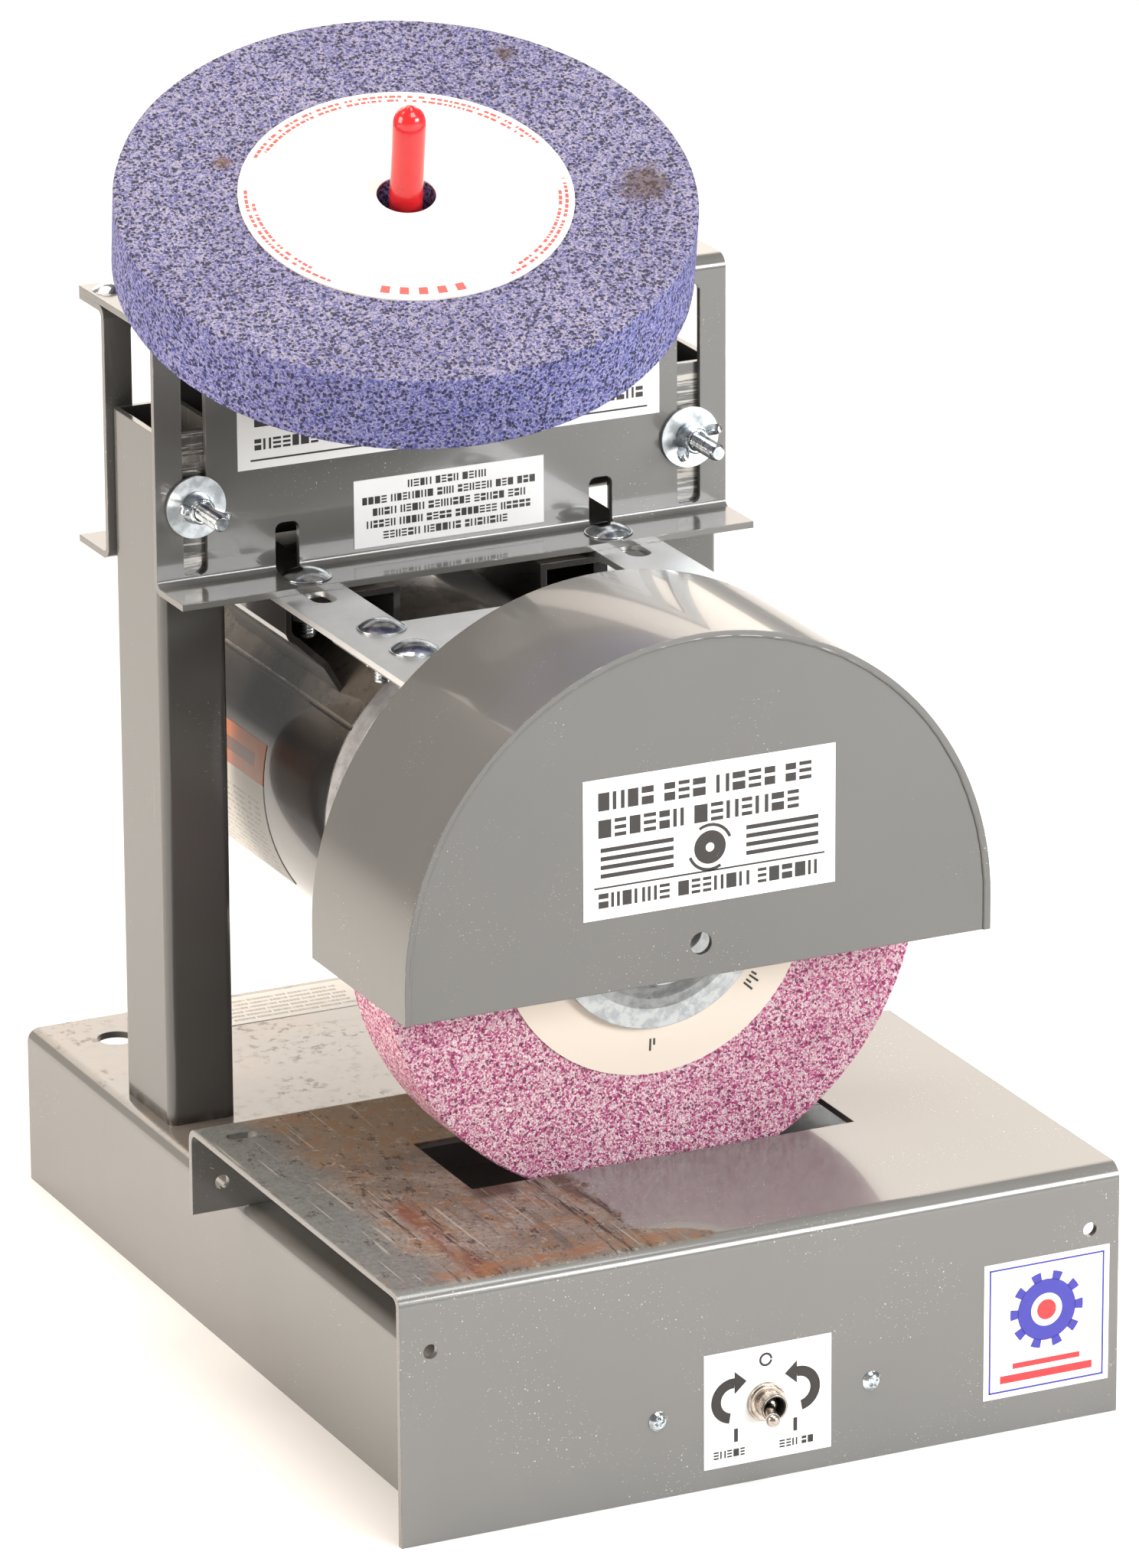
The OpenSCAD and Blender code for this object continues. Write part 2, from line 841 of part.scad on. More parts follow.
module winding_shape() {
    translate([58, 0]) round_rect(16, 15, 5);
}

module stator_windings() {
    color("#a4562a") for (y = [core_front - 8, core_back + 8])
        on_axis(y) turned() winding_shape();
}

module through_bolts() {
    first = shell_front - 22;
    last = shell_back + 16;
    color(zinc) for (turn = [45:90:315])
        on_axis(first) rotate([0, turn, 0]) translate([through_r, 0, 0]) {
            rod(4.8, last - first);
            translate([0, -2.5, 0]) rotate([-90, 0, 0]) hex_prism(8, 4);
        }
}

module bearing() {
    difference() {
        rod(2 * bearing_r, bearing_t);
        translate([0, -1, 0]) rod(shaft_d + 0.1, bearing_t + 2);
    }
}

module front_bearing() {
    color(steel) on_axis(shell_front - 18) bearing();
}

module rear_bearing() {
    color(steel) on_axis(shell_back + 6) bearing();
}

module start_switch() {
    color("#7a5a2e") on_axis(shell_back + 2.5) difference() {
        rod(104, 2.5);
        translate([0, -1, 0]) rod(44, 5);
    }
}

// frame of the capacitor, on the right flank of the shell behind the post
module capacitor_place() {
    on_axis(375.5) rotate([0, -18, 0]) translate([motor_r + 2, 0, 0]) children();
}

module capacitor() {
    color(steel) capacitor_place() translate([17.5, 3, 0]) rod(32, 52);
}

module capacitor_cover() {
    color(black) difference() {
        capacitor_place() difference() {
            union() {
                translate([17.5, 0, 0]) rod(38, 58);
                translate([-6, 0, -19]) cube([23.5, 58, 38]);
            }
            translate([17.5, 1.5, 0]) rod(35, 55);
            translate([-7, 1.5, -17.5]) cube([24.5, 55, 35]);
        }
        on_axis(370) rod(2 * motor_r, 70);
    }
}

// ---------- spindle ----------

module shaft() {
    first = 76;
    color(steel) on_axis(first) rod(shaft_d, shell_back + 19 - first);
}

module rotor() {
    color(steel) on_axis(core_front - 2) difference() {
        union() {
            rod(2 * core_inner_r - 0.8, core_back - core_front + 4);
            translate([0, -8, 0]) rod(60, core_back - core_front + 20);
        }
        translate([0, -10, 0]) rod(shaft_d, core_back - core_front + 30);
    }
}

module fan() {
    color(black) on_axis(core_back + 14) difference() {
        union() {
            rod(26, 12);
            rod(72, 1.5);
            for (turn = [0:45:315])
                rotate([0, turn, 0]) translate([10, 0, -1]) cube([24, 12, 2]);
        }
        translate([0, -1, 0]) rod(shaft_d, 14);
    }
}

module outer_flange() {
    color(zinc) on_axis(wheel_front - blotter_t - 8.4) difference() {
        turned() polygon([[0, 0], [30, 0], [37, 3], [42, 4.2], [flange_r, 4.4], [flange_r, 8.4],
            [40, 8.4], [38, 7], [16, 7], [14, 8.4], [0, 8.4]]);
        translate([0, -1, 0]) rod(shaft_d, 12);
    }
}

module inner_flange() {
    first = wheel_back + blotter_t;
    color(zinc) difference() {
        union() {
            on_axis(first) turned() polygon([[0, 0], [flange_r, 0], [flange_r, 4], [40, 5],
                [17, 5], [17, 22], [0, 22]]);
            on_axis(wheel_front) rod(wheel_bore - 0.2, wheel_t + blotter_t + 1);
        }
        on_axis(wheel_front - 1) rod(shaft_d, 80);
    }
}

module spindle_nut() {
    color(steel) on_axis(wheel_front - blotter_t - 8.4) rotate([90, 0, 0])
        hex_nut(23.8, shaft_d, 12);
}

module grinding_wheel() {
    color("#b0708f") on_axis(wheel_back) rotate([90, 0, 0]) wheel_body();
}

module wheel_blotters() {
    color("#e8d9c4") {
        on_axis(wheel_front) rotate([90, 0, 0]) washer(blotter_d, wheel_bore, blotter_t);
        on_axis(wheel_back + blotter_t) rotate([90, 0, 0])
            washer(blotter_d, wheel_bore, blotter_t);
    }
}

// ---------- whole part ----------

base_channel();
work_table();
left_post();
right_post();
post_bolts();
fender_washers();
switch_box();
switch_body();
switch_terminals();
switch_ring_nut();
switch_box_screws();
cord_gland();
switch_label();
square_sticker();
base_label();
toggle_lever();
left_wing_nut();
right_wing_nut();
front_channel();
rear_channel();
top_bolts();
top_nuts();
peg_bracket();
peg_stud();
peg_washer();
peg_cap();
upper_label();
lower_label();
motor_plate();
guard_front();
guard_rim();
guard_back();
guard_label();
plate_bolts();
plate_washers();
plate_nuts();
motor_foot();
motor_shell();
front_bell();
rear_bell();
stator_core();
stator_windings();
through_bolts();
front_bearing();
rear_bearing();
start_switch();
capacitor();
capacitor_cover();
motor_label();
shaft();
rotor();
fan();
inner_flange();
outer_flange();
spindle_nut();
grinding_wheel();
wheel_blotters();
spare_wheel();
spare_blotters();
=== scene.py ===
"""Bench grinder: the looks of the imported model. Metres, +X to the right, +Y to the rear, +Z up."""

import json
import random
from math import asin, atan2, cos, degrees, pi, radians, sin, sqrt

import bmesh
import bpy
from mathutils import Matrix, Vector, noise


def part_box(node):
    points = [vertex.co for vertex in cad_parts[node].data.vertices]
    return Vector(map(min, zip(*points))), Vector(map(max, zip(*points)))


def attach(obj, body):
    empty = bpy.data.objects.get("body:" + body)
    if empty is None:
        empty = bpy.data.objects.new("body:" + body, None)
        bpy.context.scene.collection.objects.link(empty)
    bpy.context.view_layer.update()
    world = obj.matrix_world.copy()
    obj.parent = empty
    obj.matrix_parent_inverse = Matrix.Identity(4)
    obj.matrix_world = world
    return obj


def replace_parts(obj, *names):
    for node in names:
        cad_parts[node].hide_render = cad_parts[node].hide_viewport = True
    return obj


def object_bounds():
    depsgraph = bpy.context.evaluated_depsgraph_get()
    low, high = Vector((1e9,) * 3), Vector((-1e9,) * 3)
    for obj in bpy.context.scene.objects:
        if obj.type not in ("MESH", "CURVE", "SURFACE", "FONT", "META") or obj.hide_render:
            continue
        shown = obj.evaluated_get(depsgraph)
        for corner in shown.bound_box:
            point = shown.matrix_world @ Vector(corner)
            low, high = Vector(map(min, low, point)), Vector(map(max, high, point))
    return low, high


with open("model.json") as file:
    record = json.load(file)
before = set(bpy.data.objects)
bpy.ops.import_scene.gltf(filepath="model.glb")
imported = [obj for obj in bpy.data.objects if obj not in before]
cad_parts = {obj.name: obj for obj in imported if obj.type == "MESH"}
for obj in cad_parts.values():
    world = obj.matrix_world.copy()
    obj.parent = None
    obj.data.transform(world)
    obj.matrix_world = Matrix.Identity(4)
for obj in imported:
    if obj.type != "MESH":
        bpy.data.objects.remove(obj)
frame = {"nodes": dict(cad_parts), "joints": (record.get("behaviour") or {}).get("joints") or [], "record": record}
cad_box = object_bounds()
MM = 0.001
FORWARD = (0, -1, 0)
JOINTS = {j["name"]: j for j in frame["joints"]}


# ---------- places that come from the frame ----------

def middle(node):
    """The middle of a CAD node's box."""
    low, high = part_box(node)
    return (low + high) / 2


def solids(node):
    """(lowest corner, highest corner) of each separate solid in a CAD node, from left to right."""
    mesh = frame["nodes"][node].data
    spots = [tuple(round(c, 6) for c in v.co) for v in mesh.vertices]
    root = {spot: spot for spot in spots}

    def find(spot):
        while root[spot] != spot:
            root[spot] = root[root[spot]]
            spot = root[spot]
        return spot

    for edge in mesh.edges:
        a, b = (find(spots[i]) for i in edge.vertices)
        root[a] = b
    groups = {}
    for spot in root:
        groups.setdefault(find(spot), []).append(spot)
    boxes = [(Vector(map(min, zip(*g))), Vector(map(max, zip(*g)))) for g in groups.values()]
    return sorted(boxes, key=lambda box: tuple(box[0]))


def standing_on(origin, axis, turn=0.0):
    """A placement whose +Z runs along axis, turned about it by an angle in degrees."""
    tilt = Vector(axis).normalized().to_track_quat("Z", "Y").to_matrix().to_4x4()
    return Matrix.Translation(origin) @ tilt @ Matrix.Rotation(radians(turn), 4, "Z")


SPARE_AXIS = Vector(JOINTS["spare_lift"]["axis"]).normalized()
WHEEL_LOW, WHEEL_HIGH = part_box("grinding_wheel")
WHEEL_R = (WHEEL_HIGH.x - WHEEL_LOW.x) / 2
WHEEL_T = WHEEL_HIGH.y - WHEEL_LOW.y
SPARE_FOOT = middle("spare_wheel") - SPARE_AXIS * WHEEL_T / 2
BORE_R = 13 * MM
BOLT_R = 3.95 * MM
HEAD_H = 4.4 * MM


# ---------- materials ----------

class Finish:
    """A material with one Principled shader, and short names for the nodes that feed it."""

    def __init__(self, name, **values):
        self.material = bpy.data.materials.new(name)
        self.material.use_nodes = True
        self.nodes = self.material.node_tree.nodes
        self.links = self.material.node_tree.links
        self.shader = self.nodes["Principled BSDF"]
        for key, value in values.items():
            self.set(key.replace("_", " ").title().replace("Ior", "IOR"), value)

    def feed(self, socket, value):
        if isinstance(value, bpy.types.NodeSocket):
            self.links.new(value, socket)
        else:
            if socket.type == "RGBA" and len(value) == 3:
                value = (*value, 1.0)
            socket.default_value = value

    def set(self, socket, value):
        self.feed(self.shader.inputs[socket], value)

    def look(self, colour, rough=None):
        """Sets the colour, and the roughness if one is given."""
        self.set("Base Color", colour)
        if rough is not None:
            self.set("Roughness", rough)

    def add(self, kind, inputs=None, **settings):
        node = self.nodes.new("ShaderNode" + kind)
        for key, value in settings.items():
            setattr(node, key, value)
        for key, value in (inputs or {}).items():
            self.feed(node.inputs[key], value)
        return node

    def place(self, stretch=(1, 1, 1), shift=(0, 0, 0), turn=(0, 0, 0)):
        """Object coordinates in metres, scaled, shifted and turned."""
        coordinates = self.add("TexCoord").outputs["Object"]
        inputs = {"Vector": coordinates, "Scale": stretch, "Location": shift, "Rotation": turn}
        return self.add("Mapping", inputs).outputs[0]

    def axes(self):
        """The X, Y and Z of the place, as separate values in metres."""
        return self.add("SeparateXYZ", {0: self.add("TexCoord").outputs["Object"]}).outputs

    def noise(self, scale, detail=3.0, rough=0.5, **placing):
        inputs = {"Vector": self.place(**placing), "Scale": scale, "Detail": detail, "Roughness": rough}
        return self.add("TexNoise", inputs).outputs["Fac"]

    def cells(self, scale, **placing):
        """The distance to the nearest of many scattered points."""
        inputs = {"Vector": self.place(**placing), "Scale": scale}
        return self.add("TexVoronoi", inputs).outputs["Distance"]

    def math(self, operation, a, b=0.0, c=0.0):
        node = self.add("Math", operation=operation)
        for socket, value in zip(node.inputs, (a, b, c)):
            self.feed(socket, value)
        return node.outputs[0]

    def rise(self, value, low, high):
        """0 below low and 1 above high, smooth between them; falls if low is above high."""
        inputs = {"Value": value, "From Min": low, "From Max": high}
        return self.add("MapRange", inputs, interpolation_type="SMOOTHSTEP").outputs[0]

    def spots(self, low, high, scale, *texture, **placing):
        """Noise that counts as 0 below low and 1 above high."""
        return self.rise(self.noise(scale, *texture, **placing), low, high)

    def between(self, value, low, high, soft):
        """1 where value lies from low to high, with soft edges."""
        up = self.rise(value, low - soft, low + soft)
        down = self.rise(value, high + soft, high - soft)
        return self.times(up, down)

    def times(self, first, *others):
        """The product of masks, or of a mask and a number."""
        for other in others:
            first = self.math("MULTIPLY", first, other)
        return first

    def ramp(self, value, *stops):
        """A colour ramp; each stop is (place, colour)."""
        node = self.add("ValToRGB", {"Fac": value})
        elements = node.color_ramp.elements
        while len(elements) < len(stops):
            elements.new(0.5)
        for element, (place, colour) in zip(elements, stops):
            element.position = place
            element.color = (*colour, 1.0)
        return node.outputs["Color"]

    def mix(self, mask, first, second, blend="MIX"):
        node = self.add("Mix", data_type="RGBA", blend_type=blend)
        self.feed(node.inputs[0], mask)
        self.feed(node.inputs[6], first)
        self.feed(node.inputs[7], second)
        return node.outputs[2]

    def lay(self, tone, colour, mask, amount):
        """The tone with a colour laid over it where the mask is 1, as strongly as the amount."""
        return self.mix(self.times(mask, amount), tone, colour)

    def level(self, mask, first, second):
        """A number that goes from first to second as the mask goes from 0 to 1."""
        node = self.add("Mix", data_type="FLOAT")
        for index, value in zip((0, 2, 3), (mask, first, second)):
            self.feed(node.inputs[index], value)
        return node.outputs[0]

    def bump(self, *layers, edge=0):
        """Bumps, each (height, depth), over edges rounded by edge; depth and edge are in millimetres."""
        normal = None
        if edge:
            normal = self.add("Bevel", {"Radius": edge * MM}, samples=4).outputs[0]
        for height, depth in layers:
            node = self.add("Bump", {"Height": height, "Strength": 1.0, "Distance": depth * MM})
            if normal:
                self.links.new(normal, node.inputs["Normal"])
            normal = node.outputs[0]
        self.links.new(normal, self.shader.inputs["Normal"])

    def compare(self, operation, first, second):
        """The dot product or the distance of two vectors."""
        return self.add("VectorMath", {0: first, 1: second}, operation=operation).outputs["Value"]

    def edges(self, radius):
        """1 on edges and 0 on flat stretches."""
        rounded = self.add("Bevel", {"Radius": radius}, samples=6).outputs[0]
        flat = self.add("NewGeometry").outputs["Normal"]
        return self.rise(self.compare("DOT_PRODUCT", rounded, flat), 0.995, 0.86)


def shade(colour, factor):
    """A colour made lighter or darker."""
    return tuple(min(1.0, c * factor) for c in colour)


ORANGE_PEEL = 0.012
GREY = (0.15, 0.146, 0.138)
BARE = (0.36, 0.33, 0.3)
DUST = (0.42, 0.38, 0.32)


def specks(f, patch=0.54):
    """Sparse pale dust specks that gather in patches, as a mask."""
    wide = f.cells(270)
    small = f.cells(640, shift=(0.2, 0.1, 0.3))
    patches = f.spots(patch, patch + 0.14, 22, 3, shift=(0.6, 0.1, 0.2))
    return f.times(f.math("MAXIMUM", f.rise(wide, 0.105, 0.06), f.rise(small, 0.13, 0.08)), patches)


def paint(name, colour=GREY, chips=1.0, marks=None):
    """Glossy enamel on sheet steel: soft mottling, dust, chips along the edges and a fine orange peel.
    marks(f, tone) adds dirt, wear and painted shade of its own. It returns the tone, and masks of bare steel and
    of dirt, which on the posts holds painted shade too."""
    f = Finish(name, coat_weight=0.5, coat_roughness=0.05)
    cloud = f.noise(9, 4)
    tone = f.mix(cloud, shade(colour, 0.88), shade(colour, 1.12))
    dust = specks(f)
    tone = f.lay(tone, shade(DUST, 1.15), dust, 0.8)
    lines = f.spots(0.74, 0.78, 60, 6, 0.7, stretch=(1, 1, 9), turn=(0.4, 0.2, 0.7))
    tone = f.lay(tone, DUST, lines, 0.6)
    worn = f.times(f.edges(0.9 * MM), f.spots(0.52, 0.66, 140, 5, 0.7), chips)
    if marks:
        tone, bare, dirt = marks(f, tone)
        worn = f.math("MAXIMUM", worn, bare)
        f.set("Coat Weight", f.level(dirt, 0.5, 0.0))
        f.set("Specular IOR Level", f.level(dirt, 0.5, 0.12))
    f.look(f.mix(worn, tone, BARE), f.level(cloud, 0.13, 0.24))
    f.set("Metallic", f.times(worn, 0.8))
    f.bump((f.noise(380, 2), ORANGE_PEEL), (dust, 0.03), edge=0.7)
    return f


def base_marks(f, tone):
    """Brown dirt that lies on the top of the base behind the table, and rub marks on its bends."""
    _, y, z = f.axes()
    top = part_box("base_channel")[1].z
    flat = f.rise(z, top - 1.5 * MM, top - 0.3 * MM)
    blotch = f.noise(34, 6, 0.68, shift=(0.1, 0.7, 0))
    film = f.times(flat, f.rise(blotch, 0.36, 0.66), f.rise(y, 200 * MM, 240 * MM))
    tone = f.lay(tone, (0.22, 0.165, 0.115), film, 0.6)
    crumbs = f.times(f.spots(0.54, 0.575, 150, 6, 0.78), f.spots(0.44, 0.6, 19, 4, shift=(0.3, 0.2, 0)))
    dirt = f.times(flat, crumbs, f.rise(y, 100 * MM, 140 * MM))
    tone = f.lay(tone, (0.155, 0.115, 0.082), dirt, 0.85)
    rubs = f.spots(0.7, 0.74, 60, 6, 0.72, stretch=(0.16, 1, 2.4), shift=(0, 0, 0.3))
    bare = f.times(flat, f.rise(blotch, 0.79, 0.83))
    return f.lay(tone, shade(DUST, 1.1), rubs, 0.5), bare, f.times(dirt, 0.8)


def post_marks(f, tone):
    """Bare scratches across the posts where the channels slide, and a dark line at their feet that is grime and
    painted shade in the corner with the base.
    """
    _, y, z = f.axes()
    _, front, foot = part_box("left_post")[0]
    slid_low, slid_high = 330 * MM, 430 * MM
    slid = f.times(f.rise(y, front + 1.5 * MM, front + 0.4 * MM), f.between(z, slid_low, slid_high, 8 * MM))
    scores = f.spots(0.49, 0.53, 150, 6, 0.75, stretch=(0.05, 1, 1.6))
    # Dark band just above the posts' feet: grime, and painted shade in the corner where the posts meet the base.
    foot_shade_and_grime = f.times(f.rise(z, foot + 6 * MM, foot + 1 * MM), f.spots(0.35, 0.6, 120, 5, 0.7))
    tone = f.lay(tone, (0.06, 0.042, 0.03), foot_shade_and_grime, 0.75)
    streaks = f.spots(0.63, 0.72, 95, 6, 0.7, stretch=(1, 1, 0.12))
    tone = f.lay(tone, shade(DUST, 0.8), streaks, 0.35)
    tone = f.lay(tone, (0.5, 0.47, 0.42), f.times(slid, scores), 0.85)
    return tone, f.times(slid, f.rise(scores, 0.8, 1.0), f.spots(0.5, 0.6, 40, 2)), foot_shade_and_grime


def scratches(f, turn, shift):
    """Fine, nearly straight scratches in one direction, gathered in patches, as a mask."""
    lines = f.noise(290, 2, 0.5, stretch=(1, 0.02, 1), shift=(shift, 0, 0), turn=(0, 0, turn))
    patches = f.spots(0.5, 0.62, 24, 3, shift=(0, shift, 0))
    return f.times(f.rise(lines, 0.675, 0.71), patches)


def table_wear(f, x, y):
    """Mask of the worn area; its ragged limit lies further right at the front and behind the slot."""
    slot_front = WHEEL_LOW.y - 9 * MM
    ragged = f.math("MULTIPLY_ADD", f.noise(55, 6, 0.72), 30 * MM, -15 * MM)
    at_front = f.times(f.rise(y, 26 * MM, 8 * MM), 26 * MM)
    behind = f.times(f.rise(y, slot_front, slot_front + 50 * MM), 60 * MM)
    limit = f.math("ADD", f.math("ADD", f.math("ADD", ragged, at_front), -47 * MM), behind)
    return f.rise(f.math("SUBTRACT", limit, x), -1 * MM, 2 * MM)


def worn_steel(f, x, y, grain):
    """Steel that is bluish at the left edge, mauve and rusty inward, with streaks that run front to rear.
    Returns its colour and the mask of the streaks."""
    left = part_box("work_table")[0].x
    blotch = f.noise(30, 6, 0.66, shift=(0.4, 0.2, 0))
    inward = f.rise(f.math("ADD", x, f.times(blotch, 30 * MM)), left + 32 * MM, left + 52 * MM)
    before_slot = f.rise(y, 104 * MM, 92 * MM)
    steel = f.mix(f.rise(grain, 0.25, 0.75), (0.09, 0.096, 0.092), (0.175, 0.178, 0.17))
    mauve = f.mix(f.rise(blotch, 0.34, 0.66), (0.165, 0.12, 0.088), (0.29, 0.24, 0.2))
    mauve = f.lay(mauve, (0.08, 0.052, 0.038), f.rise(grain, 0.52, 0.36), 0.75)
    steel = f.lay(steel, mauve, inward, 0.86)

    rear_rust = f.times(f.rise(y, 128 * MM, 170 * MM), inward, f.rise(blotch, 0.34, 0.58))
    steel = f.lay(steel, (0.185, 0.125, 0.072), rear_rust, 0.8)
    red_band = f.times(f.between(x, left + 37 * MM, left + 50 * MM, 3 * MM), before_slot,
                       f.spots(0.36, 0.54, 70, 5, 0.65, stretch=(1, 0.2, 1)))
    steel = f.lay(steel, (0.15, 0.048, 0.026), red_band, 0.9)
    dark_band = f.times(f.between(x, left + 103 * MM, left + 120 * MM, 4 * MM), before_slot,
                        f.spots(0.4, 0.54, 90, 5, 0.7, stretch=(1, 0.14, 1), shift=(0.3, 0, 0)))
    steel = f.lay(steel, (0.062, 0.036, 0.024), dark_band, 0.85)
    bands = f.math("MAXIMUM", f.between(x, left + 30 * MM, left + 50 * MM, 5 * MM),
                   f.between(x, left + 98 * MM, left + 122 * MM, 5 * MM))
    streaks = f.times(f.spots(0.54, 0.59, 210, 6, 0.68, stretch=(1, 0.06, 1)), before_slot,
                      f.level(bands, 0.35, 1.0))
    steel = f.mix(streaks, steel, (0.036, 0.022, 0.016))

    flecks = f.spots(0.52, 0.57, 125, 6, 0.78, stretch=(1, 0.6, 1), shift=(0.5, 0, 0))
    steel = f.lay(steel, (0.215, 0.115, 0.052), f.times(flecks, inward), 0.7)
    pale = f.spots(0.57, 0.61, 150, 6, 0.8, shift=(0.9, 0.3, 0))
    steel = f.lay(steel, (0.36, 0.33, 0.29), pale, f.level(inward, 0.2, 0.55))
    pits = f.spots(0.575, 0.605, 170, 6, 0.8, stretch=(1, 0.5, 1))
    steel = f.lay(steel, (0.045, 0.028, 0.021), pits, 0.85)
    slot_corner = f.times(f.between(x, -93 * MM, -72 * MM, 4 * MM), f.between(y, 84 * MM, 100 * MM, 4 * MM),
                          f.rise(blotch, 0.3, 0.5))
    steel = f.lay(steel, (0.055, 0.028, 0.017), slot_corner, 0.85)
    broken = f.spots(0.42, 0.56, 130, 6, 0.75, shift=(0.2, 0, 0))
    front_rust = f.times(f.between(y, 8 * MM, 17 * MM, 4 * MM), f.rise(blotch, 0.34, 0.5), broken)
    steel = f.lay(steel, (0.235, 0.105, 0.042), front_rust, 0.9)
    fine = scratches(f, 0.35, 0.1)
    for turn, shift in ((1.1, 0.4), (2.0, 0.8), (2.7, 0.25), (0.75, 0.6), (1.6, 0.95)):
        fine = f.math("MAXIMUM", fine, scratches(f, turn, shift))
    return f.lay(steel, (0.38, 0.36, 0.31), fine, 0.6), streaks


def table_paint():
    """The same enamel, worn through to brown, streaked steel over the left of the table."""
    f = Finish("table_enamel", coat_roughness=0.05)
    x, y, z = f.axes()
    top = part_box("work_table")[1].z
    cloud = f.noise(11, 4)
    enamel = f.mix(cloud, shade(GREY, 0.9), shade(GREY, 1.1))
    enamel = f.mix(specks(f, 0.46), enamel, shade(DUST, 1.25))
    grain = f.noise(420, 6, 0.8)
    steel, streaks = worn_steel(f, x, y, grain)
    worn = f.times(table_wear(f, x, y), f.rise(z, top - 1.2 * MM, top - 0.2 * MM))
    chipped = f.times(f.edges(0.9 * MM), f.spots(0.45, 0.6, 120, 5, 0.7))
    f.look(f.lay(f.mix(worn, enamel, steel), (0.3, 0.22, 0.16), chipped, 0.8),
           f.level(worn, f.level(cloud, 0.13, 0.23), f.level(grain, 0.34, 0.6)))
    f.set("Metallic", f.times(worn, 0.3))
    f.set("Coat Weight", f.level(worn, 0.5, 0.05))
    f.bump((f.noise(380, 2), ORANGE_PEEL), (f.times(worn, grain), 0.12),
           (f.times(worn, streaks), -0.1), edge=0.7)
    return f


def plated(name, dull=(0.48, 0.51, 0.53), bright=(0.73, 0.77, 0.79), rough=(0.31, 0.44)):
    """Zinc or nickel plate: a metal with cloudy patches, fine brushing and small dark stains."""
    f = Finish(name, metallic=1.0)
    cloud = f.noise(160, 5, 0.65)
    tone = f.mix(f.rise(cloud, 0.38, 0.6), dull, bright)
    stain = f.spots(0.63, 0.74, 90, 5, 0.7, shift=(0.3, 0.1, 0.7))
    f.look(f.lay(tone, shade(dull, 0.45), stain, 0.6), f.level(cloud, *rough))
    f.bump((f.noise(900, 3), 0.02), edge=0.35)
    return f


def sheet_zinc():
    """The bright, rolled sheet of the motor plate, with long faint lines."""
    f = Finish("sheet_zinc", metallic=0.92)
    lines = f.noise(700, 4, 0.6, stretch=(1, 0.03, 1))
    cloud = f.noise(40, 5, 0.6)
    tone = f.mix(cloud, (0.58, 0.58, 0.58), (0.8, 0.8, 0.79))
    spots = f.rise(f.cells(260), 0.07, 0.03)
    f.look(f.lay(tone, (0.12, 0.1, 0.08), spots, 0.7), f.level(lines, 0.29, 0.42))
    f.bump((lines, 0.02), edge=0.4)
    return f


def abrasive(name, grains, pore_shade, pore_share, stains=(), axis=None):
    """Coarse bonded grain. grains are ramp stops for single grains; the pore colour is painted shade in the pores;
    stains are (middle, radius, colour).
    On a wheel with the given axis the rim is tinted bluer than the faces, painted shade for the cooler light the
    rim gets."""
    grain_scale, pore_scale = 1200, 620
    f = Finish(name, roughness=0.82)
    f.set("Specular IOR Level", 0.35)
    waves = f.add("TexNoise", {"Vector": f.place(), "Scale": 900, "Detail": 2}).outputs["Color"]
    wobble = f.add("VectorMath", {0: waves, 1: (0.9 * MM,) * 3, 2: f.place()},
                   operation="MULTIPLY_ADD").outputs[0]

    def grain(scale, output):
        return f.add("TexVoronoi", {"Vector": wobble, "Scale": scale}).outputs[output]

    pick = f.add("SeparateColor", {0: grain(grain_scale, "Color")}).outputs
    tone = f.ramp(pick[0], *grains)
    tone = f.mix(f.rise(pick[1], 0.72, 0.8), tone, shade(grains[-1][1], 1.12))
    fine = f.noise(1700, 3, 0.6)
    tone = f.lay(tone, shade(grains[0][1], 0.55), f.rise(fine, 0.62, 0.42), 0.35)
    cloud = f.noise(22, 4)
    tone = f.lay(tone, shade(grains[0][1], 0.8), f.rise(cloud, 0.4, 0.66), 0.16)
    hole_pick = f.add("SeparateColor", {0: grain(pore_scale, "Color")}).outputs[0]
    hole = f.times(f.rise(grain(pore_scale, "Distance"), 0.62, 0.34),
                   f.rise(hole_pick, pore_share + 0.03, pore_share))
    # Dark pores: painted shade in the holes of the bond.
    tone = f.lay(tone, pore_shade, hole, 0.88)
    chips = f.spots(0.765, 0.79, 330, 3, 0.6, shift=(0.7, 0.2, 0.4))
    tone = f.lay(tone, (0.42, 0.17, 0.06), chips, 0.7)
    for centre, radius, colour in stains:
        away = f.compare("DISTANCE", f.place(), centre)
        ragged = f.math("MULTIPLY_ADD", f.noise(110, 5, 0.7), 1.6 * radius, away)
        mask = f.rise(ragged, 1.75 * radius, 1.15 * radius)
        tone = f.lay(tone, colour, mask, 0.72)
    # The rim tinted bluer: painted shade for the cooler, dimmer light on the rim.
    if axis:
        facing = f.compare("DOT_PRODUCT", f.add("NewGeometry").outputs["True Normal"], axis)
        rim = f.rise(f.math("ABSOLUTE", facing), 0.6, 0.4)
        painted_rim_shade = (0.93, 0.98, 1.26)
        tone = f.mix(rim, tone, painted_rim_shade, "MULTIPLY")
    f.look(tone)
    lift = f.rise(grain(grain_scale, "Distance"), 0.75, 0.05)
    f.bump((lift, 0.3), (hole, -0.75), (fine, 0.1))
    return f


def paper(name, colour, stain=(0.72, 0.6, 0.45), roughness=0.62, stained=0.25):
    """Paper or vinyl: fibres, a slight unevenness and faint brown spots."""
    f = Finish(name, roughness=roughness)
    cloud = f.noise(30, 5, 0.6)
    tone = f.mix(cloud, shade(colour, 0.965), shade(colour, 1.02))
    spots = f.spots(0.56, 0.76, 48, 5, 0.65, shift=(0.15, 0.4, 0.1))
    f.look(f.lay(tone, stain, spots, stained))
    f.bump((f.noise(1400, 3), 0.015), (f.noise(60, 2), 0.04))
    return f


